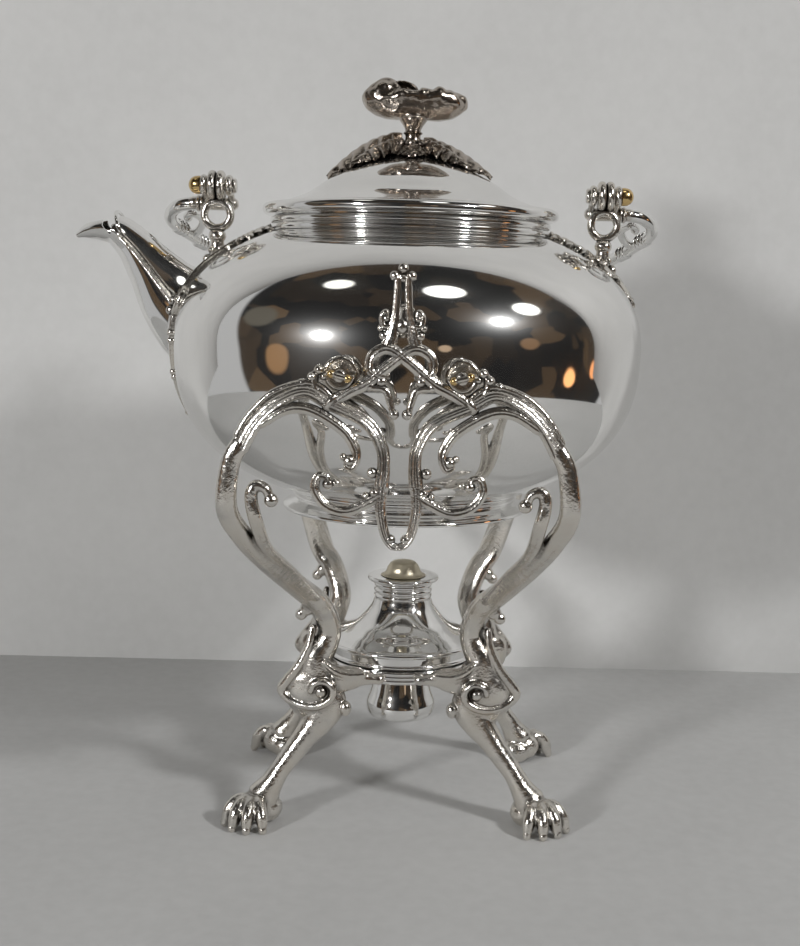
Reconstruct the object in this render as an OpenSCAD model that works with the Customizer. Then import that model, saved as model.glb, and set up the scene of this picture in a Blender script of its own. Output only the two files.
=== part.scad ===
// Tilting tea kettle on a scroll stand with a spirit burner: raised and cast
// silver. Millimetres, +Z up, spout towards -X, front towards -Y, origin on the
// table under the middle of the stand. The bail handle lies folded to the rear.

/* [Kettle] */
// Belly radius at its widest line
belly_radius = 97.3; // [92:0.1:104]
// Height of the widest line above the table
belly_height = 197; // [192:0.5:202]
// Rise of the shoulder's full curve above the widest line
shoulder_rise = 53.2; // [50:0.1:57]
// Drop of the bowl's full curve below the widest line
bowl_drop = 65.8; // [60:0.1:68]
// Thickness of the raised sheet
wall = 1.2; // [0.8:0.1:2]
// Outer radius of the neck seat on the shoulder
neck_radius = 57; // [54:0.1:60]
// Radius of the filling mouth
mouth_radius = 54; // [48:0.1:55]
// Height of the collar ring on the neck
collar_height = 6; // [4:0.1:8]
// Radius of the foot ring's joint with the bowl
foot_radius = 50; // [44:0.1:56]
// Height of the foot ring
foot_height = 9.5; // [8:0.1:12]
// Diameter of the strainer holes behind the spout
strainer_hole = 3; // [2:0.1:4]

/* [Spout] */
// Reach of the beak's tip from the kettle's axis
beak_reach = 138; // [134:0.5:146]
// Thickness of the cast spout's wall
spout_wall = 1.5; // [1.2:0.1:2]

/* [Lid] */
// Outer radius of the lid's flange
lid_radius = 61.3; // [59:0.1:64]
// Thickness of the lid's flange
flange_height = 5; // [4:0.1:6]
// Depth of the bezel that drops into the mouth
bezel_depth = 5; // [3:0.1:8]
// Clearance between bezel and mouth
bezel_clearance = 0.4; // [0.3:0.05:1]
// Rise of the lid's cone from flange to stem
cone_rise = 22.5; // [18:0.1:26]
// Radius of the finial's stem
stem_radius = 4.8; // [4:0.1:6]
// Height of the finial's stem above the cone
stem_height = 14.8; // [13:0.1:17]

/* [Handle] */
// Distance of the two ear rings from the kettle's axis
ear_reach = 80.5; // [78:0.1:82]
// Outer radius of an ear ring
ear_radius = 7.1; // [6:0.1:8]
// Height of the handle's hinge axis above the neck seat
hinge_rise = 18; // [17:0.1:20]
// Radius of the hinge pins
hinge_pin_radius = 2; // [1.5:0.05:2.5]
// Radial clearance between hinge pin and ear
hinge_clearance = 0.05; // [0.02:0.01:0.09]
// Radius of the handle's tube
bail_radius = 2.7; // [2:0.1:3.2]
// Distance of the grip from the hinge axis
grip_reach = 102.3; // [101:0.1:104]
// Angle of the folded grip below the hinge axis
grip_angle = 22.3; // [20:0.1:24]

/* [Trunnions] */
// Distance of each trunnion from the middle of the side
trunnion_spread = 21; // [19:0.1:23]
// Height of the trunnion axes above the table
trunnion_height = 190.5; // [188:0.1:193]
// Radius of the trunnion pins
trunnion_radius = 2.2; // [1.8:0.1:2.6]
// Radial clearance between trunnion pin and saddle
trunnion_clearance = 0.05; // [0.02:0.01:0.09]
// Thickness of the half bush in each saddle
saddle_wall = 1.4; // [1:0.1:2]

/* [Stand] */
// Gap between belly and side frames
frame_gap = 4.6; // [4:0.1:8]
// Depth of the cast side frames
frame_depth = 4.2; // [3.6:0.1:5]
// Half distance between the upper ends of the legs
leg_spread = 54; // [52:0.1:56]
// Height of the joints between legs and side frames
leg_height = 167; // [164:0.5:170]
// Half distance between the paws across the front
paw_spread = 61; // [56:0.5:68]
// Half distance between the paws from front to rear
paw_reach = 39; // [36:0.5:44]
// Height of the lance above the crossing of the crest
lance_rise = 28; // [24:0.5:29]
// Outer radius of the ring that carries the burner
ring_radius = 33.5; // [33:0.1:36]
// Width of the ring's band
ring_band = 3; // [2:0.1:4]
// Height of the ring's lower face above the table
ring_height = 58.5; // [56:0.5:61]
// Thickness of the ring
ring_depth = 5; // [4:0.1:6]

/* [Burner] */
// Clearance between the burner's bowl and the ring
bowl_clearance = 0.35; // [0.2:0.05:1]
// Height of the bowl's wall above the ring
bowl_rise = 7; // [5:0.1:8]
// Depth of the bowl's cone and cup below the ring
bowl_depth = 23.5; // [20:0.1:26]
// Height of the bell cover above the bowl's rim
cover_rise = 17; // [14:0.1:17.5]
// Radius of the cover's neck
burner_neck = 12.3; // [11:0.1:13]
// Radius of the wick tube
wick_radius = 5; // [4:0.1:6]
// Radius of the snuffer's brim
snuffer_brim = 15.3; // [14:0.1:17]
// Height of the snuffer's dome over its brim
snuffer_rise = 6.6; // [5:0.1:7]

/* [Parts] */
// Sub-part to draw

/* [Hidden] */
silver = [0.80, 0.80, 0.79];
old_silver = [0.62, 0.61, 0.58];
gilt = [0.80, 0.68, 0.40];
cotton = [0.90, 0.88, 0.80];
seat = 0.07;                 // gap left where a carved piece sits on a turned one
shoulder_power = 2.23;       // fullness of the shoulder's curve
bowl_power = 2.49;           // fullness of the bowl's curve
turned_fn = 96;
belly_steps = 24;             // cones that make up the belly's outline

frame_plane = belly_radius + frame_gap + frame_depth / 2;
neck_height = belly_height + shoulder_curve(neck_radius);
bowl_bottom = belly_height - bowl_curve(foot_radius + 2.5);
foot_bottom = bowl_bottom - foot_height;
collar_radius = neck_radius + 1.2;
collar_top = neck_height + collar_height;
flange_bottom = collar_top + 0.3;
flange_top = flange_bottom + flange_height;
cone_top = flange_top + cone_rise;
hinge_height = neck_height + hinge_rise;
ear_tube = 1.67;
rib_small = 4.4;
rib_large = 6.2;
rib_start = ear_reach - 6.5;
ear_height = hinge_height - rib_small - 0.4 - ear_radius;
bar_back = 8;
bar_drop = 7;
bar_start = rib_start + 1.5;
bar_end = ear_reach + 11.5;
grip_back = grip_reach * cos(grip_angle);
grip_height = hinge_height - grip_reach * sin(grip_angle);
saddle_bore = trunnion_radius + trunnion_clearance;
saddle_outer = saddle_bore + saddle_wall;
crest_height = trunnion_height + 8;
lance_top = crest_height + lance_rise;
ring_top = ring_height + ring_depth;
ring_bore = ring_radius - ring_band;
bowl_radius = ring_bore - bowl_clearance;
bowl_top = ring_top + bowl_rise;
bowl_wall = 1;
rim_radius = bowl_radius + 2.6;
cover_top = bowl_top + cover_rise;
neck_top = cover_top + 7.6;
brim_bottom = neck_top + 0.3;
brim_top = brim_bottom + 2;

// Height of the shoulder above, and of the bowl below, the widest line at radius r
function shoulder_curve(r) = fullness(r, shoulder_rise, shoulder_power);
function bowl_curve(r) = fullness(r, bowl_drop, bowl_power);
function fullness(r, size, power) =
    size * pow(max(0, 1 - pow(min(1, r / belly_radius), power)), 1 / power);
function shoulder_height(r) = belly_height + shoulder_curve(r);
function bowl_height(r) = belly_height - bowl_curve(r);
// Radius of the belly at height z
function belly_at(z) =
    let(size = z > belly_height ? shoulder_rise : bowl_drop)
    let(power = z > belly_height ? shoulder_power : bowl_power)
    let(share = min(1, abs(z - belly_height) / size))
    belly_radius * pow(1 - pow(share, power), 1 / power);

// Smooth curve through control points of any dimension, n steps to each span
function blend(a, b, c, d, t) = 0.5 * (2 * b + (c - a) * t
    + (2 * a - 5 * b + 4 * c - d) * t * t + (3 * b - a - 3 * c + d) * t * t * t);
function curve(p, n) = [
    for (i = [0 : len(p) - 2], k = [0 : n - 1])
        blend(p[max(i - 1, 0)], p[i], p[i + 1], p[min(i + 2, len(p) - 1)], k / n),
    p[len(p) - 1]
];
function unit(v) = v / norm(v);
// Line of a sheet's inner face, w inside an outline that runs in and up, below z
function inner_line(line, w, z) = [
    for (i = [len(line) - 1 : -1 : 1])
        let(ahead = line[min(i + 1, len(line) - 1)] - line[i - 1])
        let(p = line[i] + w * unit([-ahead[1], ahead[0]]))
        if (p[1] < z && p[1] > line[0][1] + 0.2) p
];
// Points of an arc about c
function arc(c, r, from, to, steps = 10) = [
    for (i = [0 : steps])
        let(a = from + (to - from) * i / steps)
        c + r * [cos(a), sin(a)]
];
function place(p) = [p[0], p[1], p[2]];

// Bar with an elliptical section swept through points [x, y, z, a, b]: b is the
// half size along `across`, a the half size square to it and to the path
module sweep(points, across, n = 3, sides = 6) {
    path = curve(points, n);
    last = len(path) - 1;
    rings = [
        for (i = [0 : last])
            let(ahead = unit(place(path[min(i + 1, last)]) - place(path[max(i - 1, 0)])))
            let(u = unit(cross(ahead, across)))
            let(v = cross(ahead, u))
            for (j = [0 : sides - 1])
                place(path[i]) + path[i][3] * cos(j * 360 / sides) * u
                    + path[i][4] * sin(j * 360 / sides) * v
    ];
    skin = [
        for (i = [0 : last - 1], j = [0 : sides - 1])
            let(k = (j + 1) % sides)
            let(a = i * sides + j)
            let(b = i * sides + k)
            each [[a, a + sides, b + sides], [a, b + sides, b]]
    ];
    foot = [for (j = [0 : sides - 1]) j];
    head = [for (j = [sides - 1 : -1 : 0]) last * sides + j];
    polyhedron(rings, concat([foot], skin, [head]));
}

// Ball, and a drop between two balls
module ball(p, r, fn = 10) {
    translate(p)
        sphere(r, $fn = fn);
}
module drop(p, q, r, s, fn = 6) {
    hull() {
        ball(p, r, fn);
        ball(q, s, fn);
    }
}

// Cast ornament drawn flat in x and z: points are [x, z, half width]
module band(points, depth, n = 2, sides = 6) {
    sweep([for (p = points) [p[0], 0, p[1], p[2], depth]], [0, 1, 0], n, sides);
}
module knob(x, z, r, s, turn = 0) {
    drop([x, 0, z], [x + s * cos(turn), 0, z + s * sin(turn)], r, r * 0.9, 5);
}
module both_sides() {
    children();
    mirror([1, 0, 0])
        children();
}
module at_side(rear) {
    mirror([0, rear ? 1 : 0, 0])
        translate([0, -frame_plane, 0])
            children();
}
// Solid inside of the belly's outline, grown by a seat where a piece lies on it
module belly_solid(grow, fn = turned_fn) {
    rotate_extrude($fn = fn)
        polygon(concat(
            [[0, bowl_bottom]],
            [for (p = belly_line(0)) p + [grow, 0]],
            [[0, neck_height]]
        ));
}
// Outline of the belly from the foot to the neck
function belly_line(inset) = [for (i = [0 : belly_steps]) belly_point(i / belly_steps, inset)];

// --- Stand ---------------------------------------------------------------

// One leg in the quadrant +X, -Y: a scroll stem, a haunch with an arm to the
// ring, and a lion's paw
module leg(rear, left) {
    mirror([left ? 1 : 0, 0, 0])
        mirror([0, rear ? 1 : 0, 0])
            difference() {
                union() {
                    leg_stem();
                    leg_inner_strand();
                    leg_haunch();
                    leg_arm();
                    paw();
                }
                translate([0, -frame_plane, 0])
                    leg_joint_cut(true);
                cylinder(r = ring_radius + seat, h = 4 * ring_depth, center = true, $fn = 64);
                translate([0, 0, ring_height - ring_depth])
                    cylinder(r = ring_radius + seat, h = 3 * ring_depth, $fn = 64);
                translate([-paw_spread, -2 * paw_reach, -20])
                    cube([4 * paw_spread, 4 * paw_reach, 20]);
            }
}
module leg_stem() {
    y = -frame_plane;
    half = frame_depth / 2;
    sweep([
        [leg_spread - 1, y, leg_height + 1.8, half, 3],
        [leg_spread + 4.6, y, leg_height - 8, half + 0.2, 3.1],
        [leg_spread + 6.2, y + 2, leg_height - 24, half + 0.6, 3.4],
        [leg_spread + 2, y * 0.885, leg_height - 36, 3, 3.6],
        [leg_spread - 4.3, y * 0.71, leg_height - 49, 3.2, 3.8],
        [leg_spread - 14, y * 0.43, leg_height - 66, 3.6, 4.6],
        [leg_spread - 24.6, y * 0.28, ring_height + 30, 4.4, 5],
        [leg_spread - 25, y * 0.27, ring_height + 22, 4.8, 5]
    ], [1, 0, 0], 2, 6);
}
module leg_inner_strand() {
    y = -frame_plane;
    half = frame_depth / 2;
    sweep([
        [leg_spread - 9, y, leg_height - 20, half * 0.8, 1.6],
        [leg_spread - 7.8, y, leg_height - 16.6, half * 0.9, 1.7],
        [leg_spread - 4, y, leg_height - 15.6, half, 2],
        [leg_spread - 2.6, y, leg_height - 20, half, 2.2],
        [leg_spread - 4.4, y + 2, leg_height - 29.5, half, 2.4],
        [leg_spread - 6, y * 0.82, leg_height - 42, half, 2.4],
        [leg_spread - 12, y * 0.58, leg_height - 56, half, 2.4]
    ], [1, 0.2, 0.1], 1, 6);
    drop([leg_spread - 9.4, y, leg_height - 20], [leg_spread - 9.4, y - 0.8, leg_height - 20.4], 2.4, 2.2, 5);
}
module leg_haunch() {
    inner = ring_radius - 5;
    sweep([
        [inner + 0.4, -28, ring_height + 25.5, 4.8, 5],
        [inner + 0.7, -29.5, ring_height + 17.5, 5, 5.2],
        [inner + 2.5, -30.5, ring_height + 9, 6, 6.8],
        [inner + 5, -31, ring_height + 1, 6.8, 11],
        [inner + 4.8, -31, ring_height - 5, 6.8, 14],
        [inner + 2, -31, ring_height - 11.5, 6.4, 11],
        [inner + 4.1, -31.6, ring_height - 18.5, 5.8, 8.4],
        [paw_spread - 24.1, -paw_reach + 6.4, 33, 5.3, 7],
        [paw_spread - 15.1, -paw_reach + 3.5, 21.5, 4.8, 5.4],
        [paw_spread - 10.5, -paw_reach + 2, 16, 5, 5.6],
        [paw_spread - 6, -paw_reach + 1, 11.5, 5.8, 7]
    ], [1, 0, 0], 1, 8);
    drop([leg_spread - 16, -35, ring_height + 32], [leg_spread - 15, -36, ring_height + 30.5], 2.8, 2.4, 5);
    ball([leg_spread - 14, -35, ring_height + 29.6], 2.2, 6);
}
module leg_arm() {
    y = -ring_radius - 0.6;
    z = ring_height + ring_depth / 2;
    sweep([
        [ring_radius + 1, y + 2, z - 3, 5.6, 4.4],
        [ring_radius - 8, y + 1, z - 1, 5.6, 4],
        [ring_radius - 15, y, z + 0.4, 4.6, 3.4],
        [ring_radius - 19, y - 0.4, z + 0.4, 3.2, 2.8],
        [ring_radius - 23.5, y - 0.8, z, 2.1, 2.1]
    ], [0, 1, 0], 1, 6);
    drop([ring_radius - 24.4, y - 0.8, z], [ring_radius - 26.4, y - 0.6, z], 2.4, 1.6, 5);
}
module paw() {
    heel = [paw_spread - 5, -paw_reach + 1, 5.6];
    hull() {
        ball(heel + [-1, 1, 0.4], 6.4, 6);
        ball(heel + [4, -2, -1.2], 5.2, 6);
    }
    for (i = [0 : 3]) {
        a = -88 + 29 * i;
        knuckle = heel + [4 + 5.4 * cos(a), -2 + 5.4 * sin(a), -0.6];
        tip = heel + [4 + 10 * cos(a), -2 + 10 * sin(a), -3];
        drop(knuckle, tip, 3.7, 3, 5);
        drop(tip + [0, 0, -0.6], tip + [1.8 * cos(a), 1.8 * sin(a), -1.4], 1.8, 1.5, 4);
    }
}

// Side frame: two arches that cross into a crest, with inner bands, horns and
// the pockets of the trunnion saddles
module frame_side(rear) {
    half = frame_depth / 2;
    at_side(rear)
        difference() {
            both_sides()
                frame_half(half);
            // Pockets for the half bushes, open at the top
            both_sides() {
                translate([trunnion_spread, 0, trunnion_height])
                    rotate([90, 0, 0])
                        cylinder(r = saddle_outer + 2 * seat, h = 4 * frame_depth, center = true, $fn = 16);
                translate([trunnion_spread - saddle_outer, -2 * frame_depth, trunnion_height])
                    cube([2 * saddle_outer, 4 * frame_depth, 20]);
            }
            // Joints with the legs, the hanger and the lance
            both_sides()
                leg_joint_cut();
            translate([-10, -frame_depth, trunnion_height - 60])
                cube([20, 2 * frame_depth, 22]);
            translate([-12, -2 * frame_depth, crest_height + 4.55])
                cube([24, 4 * frame_depth, 20]);
        }
}
// Space on one side of the joint's plane between an arch and its leg
module leg_joint_cut(above = false) {
    translate([leg_spread, 0, leg_height])
        rotate([0, -30, 0])
            translate([-12, -3 * frame_depth, above ? 0 : -16])
                cube([24, 6 * frame_depth, 16]);
}
module frame_half(half) {
    x = leg_spread;
    z = leg_height;
    c = crest_height;
    t = trunnion_spread;
    h = trunnion_height;
    // Arch from the leg over the junction and down the strap
    band([
        [x + 1.6, z - 2.6, 3],
        [x - 3.6, z + 6.6, 3],
        [x - 11, z + 13.8, 2.8],
        [x - 21, z + 17.9, 2.6],
        [t + 3.4, z + 13.9, 2.5],
        [11.8, z + 7.7, 2.3],
        [6.3, z - 0.8, 2.2],
        [5.4, z - 7.6, 2.2],
        [6, trunnion_height - 38.2, 2.6]
    ], half);
    // Band under the arch, curling inwards
    band([
        [x - 6, z + 6.4, 2],
        [x - 14.5, z + 11.4, 2],
        [x - 23, z + 11.4, 2.1],
        [x - 34, z + 5, 2],
        [x - 38.4, z - 1.2, 1.8],
        [x - 38.6, z - 5.2, 1.5]
    ], half * 0.9);
    knob(x - 38, z - 6.8, 2.5, 0.8, 20);
    // Crest ribbon, crossing the middle and curling back
    band([
        [t + 3.4, z + 13.9, 2.2],
        [t - 3, h - 5.6, 2],
        [11.7, h - 2.3, 2],
        [2.6, c - 2.8, 2],
        [-5.4, c + 2, 2],
        [-10.6, c - 1.6, 1.9],
        [-10.4, c - 6.6, 1.7],
        [-6.6, c - 8.6, 1.3]
    ], half * 0.9);
    knob(5.2, c - 7.6, 1.9, 0.6, 90);
    // Wishbone below the crossing
    band([
        [10.4, h - 3.8, 1.5],
        [5.4, h - 4.7, 1.5],
        [3.6, h - 9, 1.3],
        [3.1, h - 11.4, 1.1]
    ], half * 0.8, 1);
    knob(2.6, h - 12.4, 1.8, 0.6, -60);
    // Horn outside the trunnion, and the cradle below it
    band([
        [t + 3, z + 14.4, 2.4],
        [t + 7.2, h - 7, 2],
        [t + 8.9, h - 3, 1.6],
        [t + 8.8, h + 0.4, 1.4]
    ], half * 0.9, 1);
    ball([t + 7.6, 0, h + 1.6], 1.8, 6);
    hull() {
        translate([t, 0, h - 3])
            rotate([90, 0, 0])
                cylinder(r = saddle_outer + 1.4, h = 1.9 * half, center = true, $fn = 9);
        translate([t + 3.2, 0, h - 9.4])
            rotate([90, 0, 0])
                cylinder(r = 3.4, h = 1.8 * half, center = true, $fn = 8);
    }
    // Beads at the joints
    ball([x - 20, 0, z + 20.6], 1.9, 6);
    ball([x - 3.4, 0, z + 10.2], 1.7, 6);
    ball([9.4, 0, h - 33.6], 2, 6);
}

// Fluted lance that rises from the crossing
module lance(rear) {
    c = crest_height;
    top = lance_top;
    at_side(rear)
        difference() {
            union() {
                both_sides() {
                    band([
                        [4.4, c + 3.4, 2.3],
                        [3.4, c + 8, 1.7],
                        [2.3, c + 14, 1.3],
                        [1.7, top - 4, 1.2],
                        [1.9, top - 2, 1.2]
                    ], 1.7, 1);
                    band([
                        [3.2, c + 9.6, 1.2],
                        [6.2, c + 9.4, 1.2],
                        [7, c + 12.6, 1.1],
                        [5.8, c + 14.4, 1],
                        [4.8, c + 12.9, 0.9]
                    ], 1.4, 1);
                    knob(5.5, c + 11.8, 1.1, 0.4, 90);
                    knob(2.6, top - 1.8, 1.7, 0.5, 0);
                    ball([6.4, 0, c + 5.8], 1.4, 6);
                }
                knob(0, top + 0.8, 1.8, 0.6, 90);
                ball([0, 0, c + 9.4], 2.6, 8);
                ball([0, 0, top - 2.4], 1.8, 8);
            }
            translate([-12, -2 * frame_depth, c - 15.45])
                cube([24, 4 * frame_depth, 20]);
        }
}

// Loop below the strap, with a C-scroll on each side
module hanger(rear) {
    joint = trunnion_height - 38;
    half = frame_depth / 2;
    at_side(rear)
        difference() {
            both_sides() {
                band([
                    [6, joint + 1.6, 2.5],
                    [6.2, joint - 3.6, 1.9],
                    [6, joint - 9.6, 1.8],
                    [4.3, joint - 17.4, 1.6],
                    [1.6, joint - 21.2, 1.4],
                    [0, joint - 21.6, 1.4]
                ], half * 0.85, 2);
                band([
                    [6.4, joint - 3.4, 1.7],
                    [11.4, joint - 5.4, 1.7],
                    [18.2, joint - 8.8, 1.7],
                    [25.1, joint - 7.4, 1.7],
                    [29.2, joint - 2, 1.6],
                    [27.8, joint + 2.6, 1.4],
                    [25, joint + 1.6, 1.2]
                ], half * 0.8, 1);
                knob(24.8, joint - 0.4, 2, 0.6, 90);
                knob(2.7, joint - 19, 1.6, 0.5, 45);
                drop([4.4, 0, joint - 2.6], [7.8, 0, joint - 2.6], 2.3, 2.3, 6);
                ball([15.6, 0, joint - 5], 1.6, 6);
            }
            translate([-12, -2 * frame_depth, joint])
                cube([24, 4 * frame_depth, 10]);
        }
}

module saddle(rear, left) {
    at_side(rear)
        mirror([left ? 1 : 0, 0, 0])
            translate([trunnion_spread, frame_depth / 2, trunnion_height])
                rotate([90, 0, 0])
                    rotate([0, 0, 180])
                        rotate_extrude(angle = 180, $fn = 48)
                            translate([saddle_bore, 0])
                                square([saddle_wall, frame_depth]);
}

module burner_ring() {
    groove = 0.35;
    color(silver)
        rotate_extrude($fn = turned_fn)
            difference() {
                translate([ring_bore, ring_height])
                    square([ring_band, ring_depth]);
                for (i = [1 : 3])
                    translate([ring_radius, ring_height + ring_depth * i / 4])
                        circle(groove, $fn = 12);
            }
}

// --- Kettle --------------------------------------------------------------

module kettle_body() {
    color(silver)
        difference() {
            rotate_extrude($fn = turned_fn)
                polygon(concat(
                    [[0, bowl_bottom]],
                    belly_line(0),
                    [[mouth_radius, neck_height]],
                    [for (i = [belly_steps : -1 : 0]) belly_line(wall)[i]],
                    [[0, bowl_bottom + wall]]
                ));
            strainer_holes();
        }
}
// Point of the belly's outline, from the foot to the neck, for t from 0 to 1
function belly_point(t, inset) =
    let(low = bowl_bottom + (inset > 0 ? wall : 0))
    let(high = neck_height - inset)
    let(z = belly_height + (t < 0.5 ? (low - belly_height) * ease(1 - 2 * t)
        : (high - belly_height) * ease(2 * t - 1)))
    [max(belly_at(z) - inset, 10), z];
function ease(s) = sin(90 * s);
module strainer_holes() {
    for (row = [-1 : 1], side = [-1 : 1])
        translate([-belly_radius, side * 2 * strainer_hole, belly_height + 8 + row * 2 * strainer_hole])
            rotate([0, 90, 0])
                cylinder(d = strainer_hole, h = 6 * strainer_hole, center = true, $fn = 16);
}

module foot_ring() {
    r = foot_radius;
    z = foot_bottom;
    color(silver)
        rotate_extrude($fn = turned_fn)
            polygon(concat(
                [[r - 5, bowl_bottom], [r - 5, z + 4], [r - 3, z + 1.8], [r - 1, z], [r + 2, z]],
                [[r + 2, z + 1.4], [r + 1.2, z + 1.6], [r - 1.6, z + 3], [r - 3, z + 4.4]],
                arc([r - 3.2, z + 5.4], 0.9, -60, 60),
                arc([r - 3.7, z + 7.8], 1.3, -60, 60),
                [[r - 3.6, bowl_bottom]]
            ));
}

module collar_ring() {
    r = collar_radius;
    z = neck_height;
    color(silver)
        rotate_extrude($fn = turned_fn)
            union() {
                translate([mouth_radius, z])
                    square([neck_radius - 0.6 - mouth_radius, collar_height]);
                translate([neck_radius - 0.9, z + 1.5])
                    circle(1.4, $fn = 20);
                translate([r - 1.6, z + collar_height - 1.7])
                    circle(1.6, $fn = 24);
            }
}

// Spout with an open beak; the root is trimmed to the belly
module spout() {
    x = beak_reach;
    color(silver)
        difference() {
            union() {
                spout_outside(0);
                spout_beads();
            }
            sweep(spout_line(spout_wall), [0, 1, 0], 2, 10);
            // Notch between the upper lip and the beak, and the open beak
            translate([-x + 14.6, 0, neck_height - 4])
                rotate([90, 0, 0])
                    linear_extrude(40, center = true)
                        polygon([[0, 0], [4.6, 12], [-4, 12], [-3.4, 4.4]]);
            hull() {
                ball([-x + 4, 0, neck_height + 1.4], 1.8, 12);
                ball([-x + 12, 0, neck_height + 3.4], 4.6, 12);
                ball([-x + 12, 0, neck_height + 8], 4.6, 12);
                ball([-x + 4, 0, neck_height + 8], 3, 12);
            }
            belly_solid(2.2 * seat, 60);
        }
}
// Spout and the apron that runs down the belly, grown for a seat
module spout_outside(grow) {
    sweep(spout_line(-grow), [0, 1, 0], 2, 12);
    sweep([
        for (i = [0 : 6])
            let(z = belly_height + 14 - 9.6 * i)
            [-belly_at(z) + 1, 0, z, 4.6 - 0.35 * i + grow, 18 - 2.1 * i + grow]
    ], [0, 1, 0], 1, 10);
}
// Centre line of the spout, its sections reduced by the wall for the bore
function spout_line(inset) =
    let(x = -beak_reach)
    let(z = neck_height)
    [
        [-belly_at(z - 34) + 14, 0, z - 38, 24 - inset, 19 - inset],
        [x + 46, 0, z - 33.5, 20 - inset, 15.5 - inset],
        [x + 38.5, 0, z - 27, 15.6 - inset, 12.6 - inset],
        [x + 30, 0, z - 16.2, 10.8 - inset, 11 - inset],
        [x + 22.8, 0, z - 7, 8 - inset, 9.8 - inset],
        [x + 16, 0, z - 1.6, 6.6 - inset, 8.8 - inset],
        [x + 9, 0, z - 1, 4.8 - inset * 0.9, 6.4 - inset],
        [x + 3.4, 0, z - 2.2, 2.9 - inset * 0.8, 3.4 - inset * 0.9],
        [x, 0, z - 3.6, 1.3 - inset * 0.5, 1.5 - inset * 0.5]
    ];
module spout_beads(grow = 0) {
    for (i = [0 : 8])
        let(a = 20 + 40 * i)
        translate([-beak_reach + 21, 0, neck_height - 5.4])
            rotate([0, 42, 0])
                drop([7.9 * cos(a), 9.3 * sin(a), -0.4], [7.9 * cos(a), 9.3 * sin(a), 0.6],
                    1.3 + grow, 1.3 + grow, 5);
}

// Reeded straps from the spout's collar to a node on the shoulder, a branch to
// the left ear and a beaded rib down the seam
module spout_strap(rear) {
    color(silver)
        difference() {
            strap_side(rear ? 1 : -1, -beak_reach);
            belly_solid(2.2 * seat, 60);
            spout_outside(2 * seat);
            spout_beads(2 * seat);
            mirror([1, 0, 0])
                leaf_shape(true, 2 * seat);
        }
}
module strap_side(s, x) {
    z = neck_height;
    root = belly_at(z - 32);
    sweep([
        [x + 20, s * 9.6, z - 4, 1.6, 2],
        [x + 27, s * 11.4, z - 11, 1.7, 2.2],
        [x + 36, s * 13, z - 22, 1.9, 2.6],
        [x + 43, s * 16, z - 29, 2.2, 3]
    ], [0, 1, 0], 1, 6);
    drop([x + 43, s * 16.4, z - 29], [x + 46, s * 17, z - 27], 3.6, 3.2, 5);
    // Branch to the ear over the shoulder
    sweep([
        for (i = [0 : 5])
            let(r = root - 2 - 5.2 * i)
            let(side = s * (17 - 2.4 * i))
            let(along = -sqrt(r * r - side * side))
            [along, side, shoulder_height(r) + 1, 1.6, 2.4 - 0.15 * i]
    ], [0, 1, 0], 1, 6);
    // Scroll on the shoulder
    sweep([
        for (i = [0 : 4])
            let(a = 60 * i)
            let(r = belly_at(z - 28 - 5 * cos(a)) + 0.9)
            let(side = s * (22 + 4.4 * sin(a)))
            [-sqrt(r * r - side * side), side, z - 28 - 5 * cos(a), 1.3, 1.3]
    ], [0.8, 0.2, -0.5], 1, 6);
    // Rib of beads down the seam
    beads = [
        for (i = [0 : 7])
            let(low = z - 29 - 7.2 * i)
            let(side = s * (18.5 - 0.28 * i * i))
            let(r = belly_at(low) + 0.6)
            [-sqrt(r * r - side * side), side, low, 1.1, 1.1]
    ];
    sweep(beads, [0, 1, 0], 1, 6);
    for (i = [1 : len(beads) - 1])
        drop(place(beads[i]), place(beads[i] * 0.55 + beads[i - 1] * 0.45), 1.8, 1.5, 5);
}

// Ear: a base ball and an upright ring that carries the middle of the hinge
module ear(left) {
    color(silver)
        mirror([left ? 1 : 0, 0, 0])
            difference() {
                union() {
                    translate([ear_reach, 0, ear_height])
                        rotate([90, 0, 0])
                            rotate_extrude($fn = 48)
                                translate([ear_radius - ear_tube, 0])
                                    circle(ear_tube, $fn = 16);
                    translate([ear_reach, 0, ear_height - ear_radius - 1.2])
                        sphere(2.9, $fn = 32);
                    translate([ear_reach, 0, shoulder_height(ear_reach) - 3])
                        cylinder(r = 3.4, h = ear_height - ear_radius - shoulder_height(ear_reach) + 1, $fn = 32);
                    translate([rib_start + 3.3, 0, hinge_height])
                        rotate([0, 90, 0])
                            knuckle_ribs(2, rib_large, 3.45);
                    translate([rib_start + 3.3, -ear_tube, ear_height + 3])
                        cube([6.9, 2 * ear_tube, hinge_height - ear_height - 6]);
                }
                translate([0, 0, hinge_height])
                    rotate([0, 90, 0])
                        cylinder(r = hinge_pin_radius + hinge_clearance, h = 2 * ear_reach, $fn = 32);
                belly_solid(0);
            }
}
module knuckle_ribs(count, r, width) {
    rotate_extrude($fn = 48)
        union() {
            square([r - 0.7, count * width]);
            for (i = [0 : count - 1])
                translate([r - 1.5, (i + 0.5) * width])
                    circle(1.5, $fn = 20);
        }
}

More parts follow.
